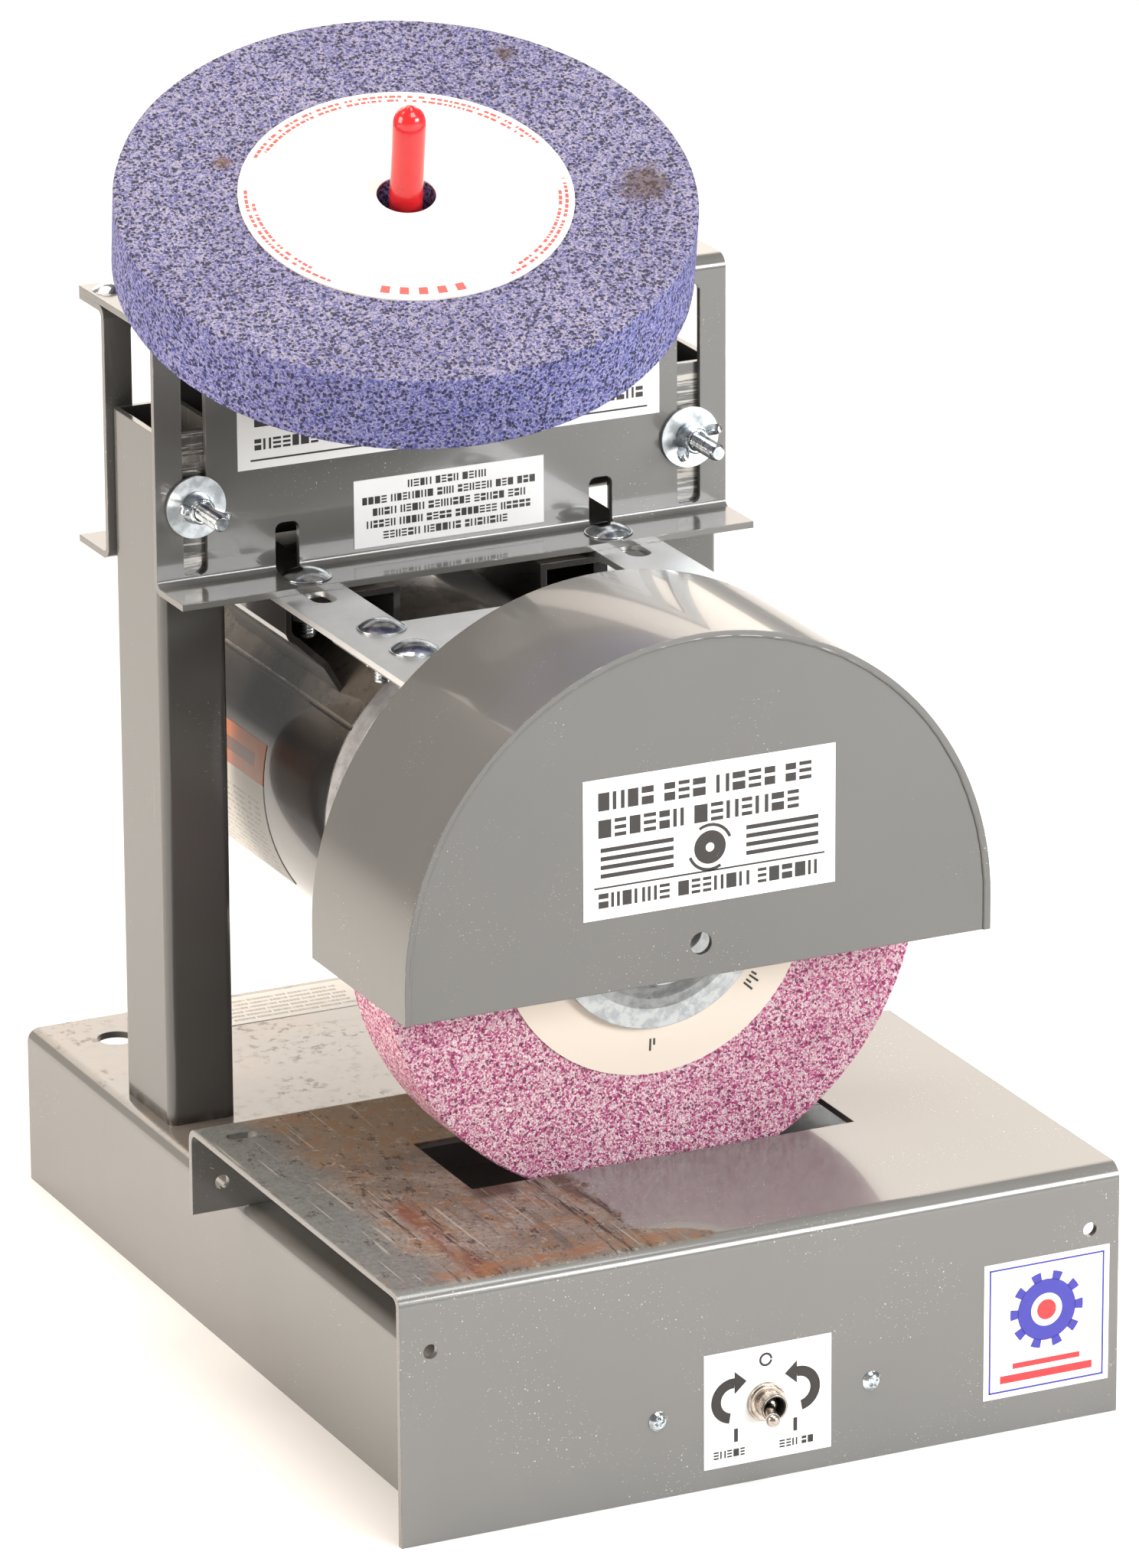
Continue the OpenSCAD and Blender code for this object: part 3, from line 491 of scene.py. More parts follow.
def ink(name, colour):
    """Printing ink with tiny gaps."""
    f = Finish(name, roughness=0.45)
    gaps = f.spots(0.66, 0.74, 1500, 4, 0.7)
    f.look(f.lay(colour, (0.7, 0.7, 0.7), gaps, 0.35))
    return f


def gloss_black():
    """Black stove enamel with dust, handling marks and a deep coat; the warm tan on upward faces is settled dust
    and a painted warm sheen.
    """
    f = Finish("gloss_black", coat_weight=0.7, coat_roughness=0.05)
    cloud = f.noise(14, 5, 0.6)
    tone = f.mix(cloud, (0.012, 0.011, 0.011), (0.034, 0.031, 0.029))
    dust = f.times(f.rise(f.cells(520), 0.1, 0.05), f.spots(0.5, 0.64, 28, 3))
    film = f.spots(0.5, 0.85, 60, 6, 0.7, stretch=(1, 0.4, 1))
    tone = f.lay(tone, (0.16, 0.13, 0.1), film, 0.25)
    up = f.add("SeparateXYZ", {0: f.add("NewGeometry").outputs["Normal"]}).outputs["Z"]
    # Warm tan on upward faces: settled dust, and a painted warm sheen standing in for the top light's reflection
    # on the motor's top.
    settled_dust_and_sheen = f.times(f.rise(up, 0.35, 0.9), f.spots(0.24, 0.55, 75, 6, 0.72))
    tone = f.lay(tone, (0.23, 0.195, 0.16), settled_dust_and_sheen, 0.7)
    f.look(f.lay(tone, (0.45, 0.42, 0.38), dust, 0.6), f.level(cloud, 0.1, 0.24))
    f.bump((f.noise(300, 2), ORANGE_PEEL), (dust, 0.03), edge=0.6)
    return f


def metal(name, dark, light, rough=(0.3, 0.5)):
    """Cast, turned or rolled metal with mottling and a grain."""
    f = Finish(name, metallic=0.9)
    cloud = f.noise(60, 5, 0.65)
    texture = f.noise(420, 4, 0.6)
    tone = f.mix(f.rise(cloud, 0.3, 0.7), dark, light)
    f.look(f.mix(f.rise(texture, 0.62, 0.75), tone, shade(dark, 0.6)), f.level(texture, *rough))
    f.bump((texture, 0.05), edge=0.5)
    return f


def laminated():
    """A stack of thin steel plates along Y."""
    f = Finish("lamination", metallic=0.8, roughness=0.5)
    stack = f.add("TexWave", {"Vector": f.place(), "Scale": 320, "Distortion": 0.4},
                  bands_direction="Y").outputs["Fac"]
    tone = f.mix(stack, (0.12, 0.12, 0.13), (0.34, 0.34, 0.35))
    f.look(f.mix(f.spots(0.55, 0.75, 70, 4), tone, (0.2, 0.11, 0.06)))
    f.bump((stack, 0.08))
    return f


def copper_wire():
    """Varnished copper windings: fine strands with darker varnish between them."""
    f = Finish("copper_wire", metallic=0.7, coat_weight=0.4, coat_roughness=0.2)
    strands = f.add("TexWave", {"Vector": f.place(), "Scale": 260, "Distortion": 6, "Detail": 3},
                    wave_type="RINGS", rings_direction="Y").outputs["Fac"]
    f.look(f.mix(strands, (0.16, 0.055, 0.02), (0.56, 0.25, 0.1)), f.level(strands, 0.5, 0.28))
    f.bump((strands, 0.25))
    return f


def plastic(name, colour):
    """Moulded plastic with a fine spark-eroded texture and scuffs."""
    f = Finish(name)
    scuff = f.spots(0.6, 0.78, 45, 6, 0.7, stretch=(1, 1, 3))
    f.look(f.lay(colour, shade(colour, 2.6), scuff, 0.35), f.level(scuff, 0.45, 0.65))
    f.bump((f.noise(1300, 3), 0.04), edge=0.5)
    return f


def red_vinyl():
    """Dipped vinyl: glossy, slightly translucent, with dark rubs near the open end."""
    f = Finish("red_vinyl", coat_weight=0.35, coat_roughness=0.08, subsurface_weight=0.12)
    f.set("Subsurface Radius", (0.004, 0.001, 0.001))
    cloud = f.noise(70, 4)
    tone = f.mix(cloud, (0.5, 0.01, 0.014), (0.68, 0.022, 0.024))
    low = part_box("peg_cap")[0].z
    z = f.axes()[2]
    near_mouth = f.rise(z, low + 34 * MM, low + 24 * MM)
    rub = f.times(f.spots(0.56, 0.66, 260, 6, 0.75, stretch=(1, 1, 2)), near_mouth)
    f.look(f.lay(tone, (0.06, 0.01, 0.01), rub, 0.7), f.level(cloud, 0.16, 0.24))
    f.bump((f.noise(120, 3), 0.12), (f.noise(900, 2), 0.02))
    return f


def motor_sticker():
    """Foil label on the motor: an orange band over a pale panel with rows of grey print."""
    f = Finish("motor_sticker", roughness=0.34, coat_weight=0.2)
    _, y, z = f.axes()
    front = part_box("motor_label")[0].y
    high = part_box("motor_label")[1].z
    rows = f.rise(f.math("PINGPONG", z, 1.5 * MM), 0.75 * MM, 1.0 * MM)
    words = f.spots(0.44, 0.5, 420, 2, stretch=(1, 1, 0.001))
    inside = f.times(f.rise(z, high - 27 * MM, high - 28 * MM), f.rise(y, front + 6 * MM, front + 7 * MM))
    panel = f.mix(f.noise(50, 4), (0.58, 0.55, 0.48), (0.68, 0.65, 0.58))
    panel = f.lay(panel, (0.16, 0.15, 0.14), f.times(rows, words, inside), 0.55)
    band = f.rise(z, high - 19 * MM, high - 18.4 * MM)
    orange = f.mix(f.noise(90, 4), (0.5, 0.115, 0.018), (0.62, 0.17, 0.035))
    bars = f.times(f.between(z, high - 12.5 * MM, high - 6.5 * MM, 0.2 * MM),
                  f.between(y, front + 10 * MM, front + 62 * MM, 0.3 * MM))
    orange = f.lay(orange, (0.08, 0.05, 0.04), bars, 0.75)
    f.look(f.mix(band, panel, orange))
    f.bump((f.noise(200, 3), 0.03))
    return f


def board():
    """Brown phenolic board with a woven grain."""
    f = Finish("phenolic_board", roughness=0.5)
    weave = f.noise(500, 4, 0.6, stretch=(1, 1, 0.3))
    f.look(f.mix(weave, (0.14, 0.075, 0.03), (0.27, 0.16, 0.07)))
    f.bump((weave, 0.05), edge=0.3)
    return f


SPARE_TOP = SPARE_FOOT + SPARE_AXIS * WHEEL_T
SPARE_SIDE = SPARE_AXIS.cross(Vector((0, 1, 0))).normalized()
SPARE_BACK = SPARE_AXIS.cross(SPARE_SIDE).normalized() * -1
BROWN = (0.075, 0.045, 0.03)
VIOLET_STAINS = [
    (SPARE_TOP + SPARE_SIDE * -99 * MM - SPARE_BACK * 33 * MM, 18 * MM, BROWN),
    (SPARE_TOP + SPARE_SIDE * -84 * MM + SPARE_BACK * 75 * MM, 7 * MM, BROWN),
    (SPARE_TOP + SPARE_SIDE * 63 * MM + SPARE_BACK * 53 * MM, 6 * MM, (0.14, 0.07, 0.04)),
]

FINISH = {
    # The same grey enamel, darkened to 0.8 on the channels and the other grey_paint parts as painted shade for the
    # dimmer light on them.
    "grey_paint": paint("grey_enamel_painted_shade", shade(GREY, 0.8)),
    "table_paint": table_paint(),
    # The same grey enamel, darkened to 0.72 on the guard as painted shade.
    "guard_paint": paint("guard_enamel_painted_shade", shade(GREY, 0.72), 0.8),
    "zinc": plated("zinc_plate"),
    "plate_steel": sheet_zinc(),
    "nickel": plated("nickel_plate", (0.36, 0.3, 0.25), (0.62, 0.55, 0.48), (0.13, 0.24)),
    "switch_plastic": plastic("switch_plastic", (0.018, 0.018, 0.018)),
    "gland_plastic": plastic("gland_plastic", (0.02, 0.02, 0.021)),
    "terminal_brass": metal("terminal_brass", (0.42, 0.3, 0.12), (0.66, 0.5, 0.24)),
    "label_white": paper("white_vinyl", (0.86, 0.86, 0.85), roughness=0.35, stained=0.1),
    "sticker": paper("sticker_vinyl", (0.86, 0.86, 0.85), roughness=0.32, stained=0.06),
    "label_grey": paper("matt_label", (0.7, 0.68, 0.64), stained=0.45),
    "motor_sticker": motor_sticker(),
    "black_gloss": gloss_black(),
    "cast_aluminium": metal("cast_aluminium", (0.42, 0.42, 0.43), (0.7, 0.7, 0.71), (0.34, 0.6)),
    "lamination": laminated(),
    "copper_wire": copper_wire(),
    "bare_steel": metal("ground_steel", (0.3, 0.3, 0.31), (0.54, 0.54, 0.55), (0.29, 0.44)),
    "board": board(),
    "capacitor_can": metal("drawn_can", (0.48, 0.48, 0.49), (0.66, 0.66, 0.67), (0.29, 0.38)),
    "fan_plastic": plastic("fan_plastic", (0.025, 0.025, 0.026)),
    "pink_abrasive": abrasive(
        "pink_abrasive",
        [(0.0, (0.31, 0.022, 0.13)), (0.34, (0.54, 0.12, 0.265)), (0.6, (0.68, 0.33, 0.43)),
         (0.84, (0.8, 0.64, 0.67))], (0.24, 0.04, 0.12), 0.1),
    "violet_abrasive": abrasive(
        "violet_abrasive",
        [(0.0, (0.058, 0.058, 0.19)), (0.35, (0.13, 0.13, 0.285)), (0.68, (0.235, 0.23, 0.38)),
         (0.9, (0.34, 0.31, 0.375))], (0.018, 0.016, 0.032), 0.39, VIOLET_STAINS, SPARE_AXIS),
    "cream_paper": paper("cream_blotter", (0.74, 0.65, 0.56), stained=0.12),
    "white_paper": paper("white_blotter", (0.74, 0.7, 0.66), (0.56, 0.42, 0.28), stained=0.55),
    "red_vinyl": red_vinyl(),
}
BRIGHT_ZINC = plated("bright_zinc", (0.36, 0.39, 0.41), (0.72, 0.76, 0.78), (0.1, 0.22))
DULL_ZINC = plated("dull_zinc", (0.36, 0.38, 0.39), (0.52, 0.54, 0.54), (0.42, 0.58))
BASE_PAINT = paint("base_enamel", marks=base_marks)
# The posts' enamel is the same grey darkened to 0.62, painted shade for the shadow the guard casts on them.
POST_PAINT = paint("post_enamel_painted_shade", shade(GREY, 0.62), marks=post_marks)
OWN = {"base_channel": BASE_PAINT, "left_post": POST_PAINT, "right_post": POST_PAINT,
       "outer_flange": DULL_ZINC, "top_bolts": BRIGHT_ZINC}
BLACK_INK = ink("black_ink", (0.022, 0.018, 0.017))
RED_INK = ink("red_ink", (0.62, 0.035, 0.04))
PALE_RED_INK = ink("pale_red_ink", (0.52, 0.085, 0.075))
GREY_INK = ink("grey_ink", (0.38, 0.36, 0.34))
BLUE_INK = ink("blue_ink", (0.045, 0.04, 0.33))

for part in frame["record"]["subparts"]:
    node = frame["nodes"][part["node"]]
    node.data.materials.clear()
    node.data.materials.append(OWN.get(part["node"], FINISH[part["material_slot"]]).material)


# ---------- mesh building ----------

def put(name, data):
    """Adds an object that shows the data to the scene."""
    made = bpy.data.objects.new(name, data)
    bpy.context.scene.collection.objects.link(made)
    return made


def put_mesh(name, mesh, finish):
    data = bpy.data.meshes.new(name)
    mesh.to_mesh(data)
    mesh.free()
    data.materials.append(finish.material)
    return put(name, data)


def piece(name, mesh, finish, body, smooth=35):
    """Makes a bmesh into an object that rides on a body."""
    bmesh.ops.recalc_face_normals(mesh, faces=mesh.faces)
    made = put_mesh(name, mesh, finish)
    if smooth:
        made.data.shade_smooth()
        made.data.set_sharp_from_angle(angle=radians(smooth))
    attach(made, body)
    return made


def in_mm(points):
    return [(a * MM, b * MM) for a, b in points]


def arc(centre, radius, start, end, steps=6):
    """Points of an arc in a profile, from one angle to another in degrees."""
    turns = [radians(start + (end - start) * i / steps) for i in range(steps + 1)]
    return [(centre[0] + radius * cos(t), centre[1] + radius * sin(t)) for t in turns]


def polar(radius, turn, height):
    return Vector((radius * cos(turn), radius * sin(turn), height))


def bridge(mesh, rows, closed=True):
    """Joins neighbouring rows of vertices by faces; a row of one vertex ends in a point."""
    for low, high in zip(rows, rows[1:]):
        steps = max(len(low), len(high))
        for i in range(steps if closed else steps - 1):
            j = (i + 1) % steps
            corners = [low[i % len(low)], low[j % len(low)], high[j % len(high)], high[i % len(high)]]
            mesh.faces.new(list(dict.fromkeys(corners)))


def lathe(mesh, profile, place, steps=64):
    """Turns a profile of (radius, height) about the placement's Z; ends at radius 0 are closed."""
    rings = []
    for radius, height in profile:
        count = 1 if radius < 1e-7 else steps
        rings.append([mesh.verts.new(place @ polar(radius, 2 * pi * i / steps, height))
                      for i in range(count)])
    bridge(mesh, rings)
    return rings


def slab(mesh, outline, place, thickness):
    """Extrudes an outline of (x, y) along the placement's Z."""
    low = [mesh.verts.new(place @ Vector((x, y, 0))) for x, y in outline]
    high = [mesh.verts.new(place @ Vector((x, y, thickness))) for x, y in outline]
    mesh.faces.new(low)
    mesh.faces.new(high)
    bridge(mesh, [low, high])


def thread(mesh, place, radius, start, end, pitch=1.4 * MM, steps=24):
    """A helical thread about the placement's Z, from start to end, with a pointed crest."""
    rows = int((end - start) / pitch * 2) - 2
    root = 0.84 * radius
    ring = [[mesh.verts.new(place @ polar(radius if row % 2 else root, 2 * pi * i / steps,
                                          start + pitch * (row / 2 + i / steps)))
             for i in range(steps)] for row in range(rows + 3)]
    for row in range(rows):
        for i in range(steps):
            turns, column = divmod(i + 1, steps)
            after = row + 2 * turns
            mesh.faces.new([ring[row][i], ring[after][column], ring[after + 1][column], ring[row + 1][i]])


def dome_radius(half_width, height):
    """The radius of the sphere that a cap of this half width and height is cut from."""
    return (half_width ** 2 + height ** 2) / (2 * height)


def bolt(mesh, place, head_r, length, bare):
    """Carriage bolt down from a domed head on the placement's Z = 0, first bare, then threaded."""
    dome = dome_radius(head_r, HEAD_H)
    span = degrees(asin(head_r / dome))
    crown = [(dome * sin(radians(a)), HEAD_H - dome + dome * cos(radians(a)))
             for a in (span * i / 14 for i in range(14))]
    rim = arc((head_r - 0.35 * MM, 0.35 * MM), 0.35 * MM, 50, -90, 5)
    lathe(mesh, crown + rim + [(BOLT_R, 0), (BOLT_R, -bare)], place, 48)
    core = BOLT_R * 0.86
    tip = [(core, -bare), (core, -length + 0.8 * MM), (BOLT_R * 0.7, -length), (0, -length)]
    lathe(mesh, tip, place, 24)
    thread(mesh, place, BOLT_R, -length + 0.6 * MM, -bare)


# ---------- wheels ----------

def wheel(name, node, slot, place, body, seed):
    """Replaces a wheel's CAD node by one with crumbled edges; its foot is on the placement's Z = 0."""
    corner = 1.2 * MM
    rows = 18
    low_face = [(BORE_R + (WHEEL_R - corner - BORE_R) * (i / 10) ** 0.6, 0) for i in range(10)]
    wall = [(WHEEL_R, corner + (WHEEL_T - 2 * corner) * i / rows) for i in range(1, rows)]
    low_corner = arc((WHEEL_R - corner, corner), corner, -90, 0, 4)
    high_corner = arc((WHEEL_R - corner, WHEEL_T - corner), corner, 0, 90, 4)
    high_face = [(r, WHEEL_T) for r, _ in reversed(low_face)]
    profile = low_face + low_corner + wall + high_corner + high_face
    mesh = bmesh.new()
    rings = lathe(mesh, profile + [low_face[0]], Matrix.Identity(4), 540)
    shift = Vector((seed, 0, 0))
    for ring, (radius, _) in zip(rings, profile):
        if radius < WHEEL_R - 3 * MM:
            continue
        for vertex in ring:
            rough = noise.noise(vertex.co * 420 + shift) + 0.6 * noise.noise(vertex.co * 900 + shift)
            lump = min(0.0, noise.noise(vertex.co * 45 + shift) + 0.25)
            vertex.co *= 1 - (0.22 * abs(rough) - 0.35 * lump) * MM / WHEEL_R
    bmesh.ops.remove_doubles(mesh, verts=mesh.verts, dist=1e-7)
    bmesh.ops.transform(mesh, matrix=place, verts=mesh.verts)
    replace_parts(piece(name, mesh, FINISH[slot], body), node)


wheel("pink_wheel", "grinding_wheel", "pink_abrasive",
      standing_on((0, WHEEL_HIGH.y, middle("grinding_wheel").z), FORWARD), "spindle", 3.0)
wheel("violet_wheel", "spare_wheel", "violet_abrasive", standing_on(SPARE_FOOT, SPARE_AXIS),
      "spare_wheel", 11.0)


# ---------- hardware ----------

def carriage_bolts(node, body, turned, bare=4 * MM):
    """Replaces a node's CAD bolts by detailed ones; the heads are on top or, if turned, at the rear."""
    mesh = bmesh.new()
    along = 1 if turned else 2
    for low, high in solids(node):
        head = (low + high) / 2
        head[along] = high[along] - HEAD_H
        place = standing_on(head, (0, 1, 0)) if turned else Matrix.Translation(head)
        bolt(mesh, place, (high.x - low.x) / 2, head[along] - low[along], bare)
    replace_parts(piece("detailed_" + node, mesh, BRIGHT_ZINC, body), node)


carriage_bolts("plate_bolts", "carriage", turned=False)
carriage_bolts("post_bolts", "base", turned=True, bare=60 * MM)


def cross_screws():
    """Pan-head screws with a cross recess, which hold the switch box to the table's front."""
    shank_r, shank = 1.6 * MM, 9 * MM
    arm_half, arm_reach, depth = 0.85 * MM, 2.6 * MM, 1.5 * MM
    mesh = bmesh.new()
    for low, high in solids("switch_box_screws"):
        centre = (low + high) / 2
        head_r = (high.x - low.x) / 2
        head_h = -low.y
        dome = dome_radius(head_r, head_h)
        place = standing_on((centre.x, 0, centre.z), FORWARD, 12 if centre.x < 0 else 31)
        profile = [(0, head_h)]
        for i in range(1, 30):
            r = (head_r - 0.3 * MM) * i / 29
            profile.append((r, head_h - dome + sqrt(dome ** 2 - r ** 2)))
        profile += [(head_r, 0.3 * MM), (head_r, 0), (shank_r, 0), (shank_r, -shank), (0, -shank)]
        rings = lathe(mesh, profile, place, 120)
        back = place.inverted()
        for ring in rings[:26]:
            for vertex in ring:
                spot = back @ vertex.co
                across, along = sorted((abs(spot.x), abs(spot.y)))
                inside = min(1, max(0, (arm_half - across) / (0.35 * MM)))
                ends = min(1, max(0, (arm_reach - along) / (0.7 * MM)))
                vertex.co += Vector((0, depth * inside * ends, 0))
    made = piece("cross_screws", mesh, BRIGHT_ZINC, "base", 30)
    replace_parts(made, "switch_box_screws")


cross_screws()


def guard_bead():
    """Weld bead in the corner where the guard's rim meets its front plate."""
    low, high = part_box("guard_front")
    radius = (high.x - low.x) / 2
    axis_z = JOINTS["spindle_turn"]["pos_m"][2]
    path = [Vector((-radius, 0, low.z)), Vector((-radius, 0, (low.z + axis_z) / 2))]
    turns = [pi * (1 - i / 240) for i in range(241)]
    path += [Vector((radius * cos(t), 0, axis_z + radius * sin(t))) for t in turns]
    path += [Vector((radius, 0, (low.z + axis_z) / 2)), Vector((radius, 0, low.z))]
    mesh = bmesh.new()
    rows = []
    for i, spot in enumerate(path):
        ahead = (path[min(i + 1, len(path) - 1)] - path[max(i - 1, 0)]).normalized()
        side = ahead.cross(Vector((0, 1, 0)))
        size = (0.85 + 0.22 * noise.noise(spot * 160)) * MM
        rows.append([mesh.verts.new(spot + side * size * cos(t) + Vector((0, low.y + size * sin(t), 0)))
                     for t in (2 * pi * k / 10 for k in range(10))])
    bridge(mesh, rows)
    mesh.faces.new(rows[0])
    mesh.faces.new(rows[-1])
    piece("guard_bead", mesh, FINISH["guard_paint"], "carriage", 60)


guard_bead()


def wing_nut(name, joint, turn):
    """Cast wing nut: a flared hub and two thick wings with bevelled edges."""
    x, _, z = JOINTS[joint]["pos_m"]
    place = standing_on((x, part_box(name)[1].y, z), FORWARD, turn)
    mesh = bmesh.new()
    bore = BOLT_R / MM + 0.1
    hub = [(bore, 0), (7.0, 0), (7.2, 0.6), (6.3, 4.0), (5.9, 6.6), (5.3, 7.2), (bore, 7.2), (bore, 0)]
    lathe(mesh, in_mm(hub), place, 40)
    wing = [(4.2, 1.2), (7.0, 1.6), (10.6, 5.2)] + arc((9.9, 9.6), 2.3, -40, 130, 8) + [(5.0, 6.4)]
    for side in (0, 180):
        out = place @ Matrix.Rotation(radians(side), 4, "Z")
        upright = Matrix.Rotation(radians(90), 4, "X")
        slab(mesh, in_mm(wing), out @ Matrix.Translation((0, 1.5 * MM, 0)) @ upright, 3.0 * MM)
    made = piece("detailed_" + name, mesh, BRIGHT_ZINC, name)
    bevel = made.modifiers.new("edges", "BEVEL")
    bevel.width = 0.5 * MM
    bevel.segments = 2
    bevel.angle_limit = radians(50)
    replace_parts(made, name)


wing_nut("left_wing_nut", "left_nut_turn", -14)
wing_nut("right_wing_nut", "right_nut_turn", 32)


def toggle():
    """Bat lever with a ball end, the threaded bushing it stands in, and the knurled ring nut."""
    pivot = Vector(JOINTS["toggle_swing"]["pos_m"])
    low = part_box("toggle_lever")[0]
    ball_r = 3.1 * MM
    tip = Vector((low.x + ball_r, low.y + ball_r, pivot.z))
    reach = (tip - pivot).length
    mesh = bmesh.new()
    stem = in_mm([(1.9, 3.7), (2.1, 7), (2.5, 13)]) + [(2.3 * MM, reach - 2.6 * MM)]
    ball = arc((0, reach), ball_r, -36, 90, 14)
    pivot_ball = arc((0, 0), 4.1 * MM, -90, 64, 12)
    lathe(mesh, pivot_ball + stem + ball, standing_on(pivot, tip - pivot), 48)
    lever = piece("bat_lever", mesh, FINISH["nickel"], "toggle_lever")
    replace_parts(lever, "toggle_lever")

    front = -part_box("switch_body")[0].y / MM
    out = standing_on((pivot.x, 0, pivot.z), FORWARD)
    mesh = bmesh.new()
    mouth = [(4.85, -3), (4.85, front - 0.9), (5.3, front + 0.02), (5.75, front + 0.02),
             (5.98, front - 0.4), (5.98, -3), (4.85, -3)]
    lathe(mesh, in_mm(mouth), out, 64)
    thread(mesh, out, 6.02 * MM, 3.4 * MM, (front - 0.3) * MM, 0.8 * MM, 48)
    piece("switch_bushing", mesh, FINISH["nickel"], "base")

    mesh = bmesh.new()
    height = -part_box("switch_ring_nut")[0].y / MM
    ring = [(6.0, 0.3), (8.55, 0.3), (8.8, 0.55), (8.8, 1.25), (8.55, 1.5), (7.9, 1.55)]
    collar = [(7.9, height - 0.7)] + arc((7.2, height - 0.7), 0.7, 0, 90, 4) + [(6.0, height)]
    rings = lathe(mesh, in_mm(ring + collar + ring[:1]), out, 144)
    for knurled in rings[1:5]:
        for vertex in knurled[::2]:
            offset = vertex.co - Vector((pivot.x, vertex.co.y, pivot.z))
            vertex.co -= offset * 0.03
    nut = piece("knurled_ring", mesh, FINISH["nickel"], "base", 20)
    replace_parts(nut, "switch_ring_nut")


toggle()


def vinyl_cap():
    """Dipped cap over the peg: a lipped mouth, straight sides and a drawn nub at the tip."""
    along = [18, 18.3, 20.2, 21.0, 50, 66, 76.4]
    radii = [7.2, 7.6, 7.6, 7.35, 7.25, 7.3, 7.35]
    shoulder = [(2.2 + 5.15 * cos(radians(a)), 76.4 + 8.6 * sin(radians(a)))
                for a in range(12, 80, 11)]
    nub = [(2.3, 85.6), (1.2, 86.7), (0, 87.0)]
    profile = [(4.75, 18)] + list(zip(radii, along)) + shoulder + nub
    mesh = bmesh.new()
    rings = lathe(mesh, in_mm(profile), standing_on(SPARE_FOOT, SPARE_AXIS), 56)
    for ring in rings[3:-1]:
        for vertex in ring:
            vertex.co += SPARE_SIDE * 0.25 * MM * noise.noise(vertex.co * 38)
    made = piece("vinyl_cap", mesh, FINISH["red_vinyl"], "carriage", 60)
    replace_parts(made, "peg_cap")


vinyl_cap()


def shell_seam():
    """Weld bead along the motor shell, and the rolled lip at its front edge."""
    low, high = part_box("motor_shell")
    radius = (high.x - low.x) / 2
    axis = Vector((0, low.y, (low.z + high.z) / 2))
    seam_at = radians(147)
    out = Vector((cos(seam_at), 0, sin(seam_at)))
    side = Vector((-sin(seam_at), 0, cos(seam_at)))
    mesh = bmesh.new()
    rows = []
    steps = 90
    for i in range(steps + 1):
        y = (high.y - low.y) * i / steps
        swell = 0.12 * noise.noise(Vector((0, y * 500, 0)))
        section = [(-1.5, -0.05), (-0.7, 0.2 + swell), (0, 0.3 + swell), (0.7, 0.2), (1.5, -0.05)]
        rows.append([mesh.verts.new(axis + Vector((0, y, 0)) + out * (radius + h * MM) + side * s * MM)
                     for s, h in section])
    bridge(mesh, rows, closed=False)
    piece("shell_seam", mesh, FINISH["black_gloss"], "carriage", 80)
    lip = [(radius - 2.4 * MM, 0)] + arc((radius - 0.4 * MM, 0.6 * MM), 0.6 * MM, -90, 90, 6)
    mesh = bmesh.new()
    lathe(mesh, lip, standing_on(axis, (0, 1, 0)), 160)
    piece("shell_lip", mesh, FINISH["black_gloss"], "carriage", 80)


shell_seam()


# ---------- printing ----------

INK_LIFT = 0.08 * MM


def printed(name, shapes, place, finish, body):
    """Flat ink shapes, each an outline of (x, y) in millimetres on the placement's XY plane."""
    mesh = bmesh.new()
    for outline in shapes:
        slab(mesh, in_mm(outline), place, INK_LIFT)
    return piece(name, mesh, finish, body, smooth=0)


def bar(x0, x1, y0, y1):
    return [(x0, y0), (x1, y0), (x1, y1), (x0, y1)]


def ring_part(centre, inner, outer, start, end, steps=24):
    """Outline of a piece of a flat ring."""
    return arc(centre, outer, start, end, steps) + arc(centre, inner, end, start, steps)


def full_ring(centre, inner, outer):
    return [ring_part(centre, inner, outer, start, start + 180) for start in (0, 180)]


def bearing(place, direction):
    """The angle in degrees at which a direction lies in the placement's XY plane."""
    local = place.inverted().to_3x3() @ direction
    return degrees(atan2(local.y, local.x))


def marks(x0, x1, y, height, seed, longest=7):
    """A row of bars and blocks in groups, in place of print."""
    rng = random.Random(seed)
    stroke = 0.21 * height
    shapes = []
    while x0 < x1 - height:
        for _ in range(rng.randint(3, longest)):
            width = height * rng.uniform(0.6, 0.78)
            if x0 + width > x1:
                break
            right, top = x0 + width, y + height
            kind = rng.randrange(4)
            if kind == 0:
                shapes += [bar(x0, x0 + stroke, y, top), bar(right - stroke, right, y, top)]
            elif kind == 1:
                rises = [y + k * (height - stroke) / 2 for k in range(3)]
                shapes += [bar(x0, right, low, low + stroke) for low in rises]
            elif kind == 2:
                shapes += [bar(x0, right, y, y + 0.46 * height), bar(x0, right, top - 0.36 * height, top)]
            else:
                shapes += [bar(x0, right, y, top)]
            x0 = right + 0.19 * height
        x0 += 0.42 * height
    return shapes


def face_of(node):
    """A placement on a label's front face, X to the right and Y up from its lower left corner, and the
    label's width and height in millimetres."""
    low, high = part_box(node)
    place = Matrix.Translation((low.x, low.y, low.z)) @ Matrix.Rotation(radians(90), 4, "X")
    return place, (high.x - low.x) / MM, (high.z - low.z) / MM


def guard_print():
    """Rows of marks, with a turning wheel between them."""
    place, width, height = face_of("guard_label")
    shapes = marks(7, width - 7, height - 14, 8, 4) + marks(7, width - 7, height - 26, 8, 11)
    shapes += marks(7, width - 7, 5, 6.5, 9) + [bar(5, width - 5, 13.6, 14.4)]
    centre = (width / 2, 24.5)
    shapes += full_ring(centre, 2.0, 7.4)
    shapes += [ring_part(centre, 9.2, 10.6, turn, turn + 100, 14) for turn in (20, 200)]
    for side in (-1, 1):
        x = centre[0] + side * 34
        shapes += [bar(x - 17, x + 17, y, y + 1.9) for y in (18.2, 22.0, 25.8, 29.6)]
    printed("guard_print", shapes, place, BLACK_INK, "carriage")


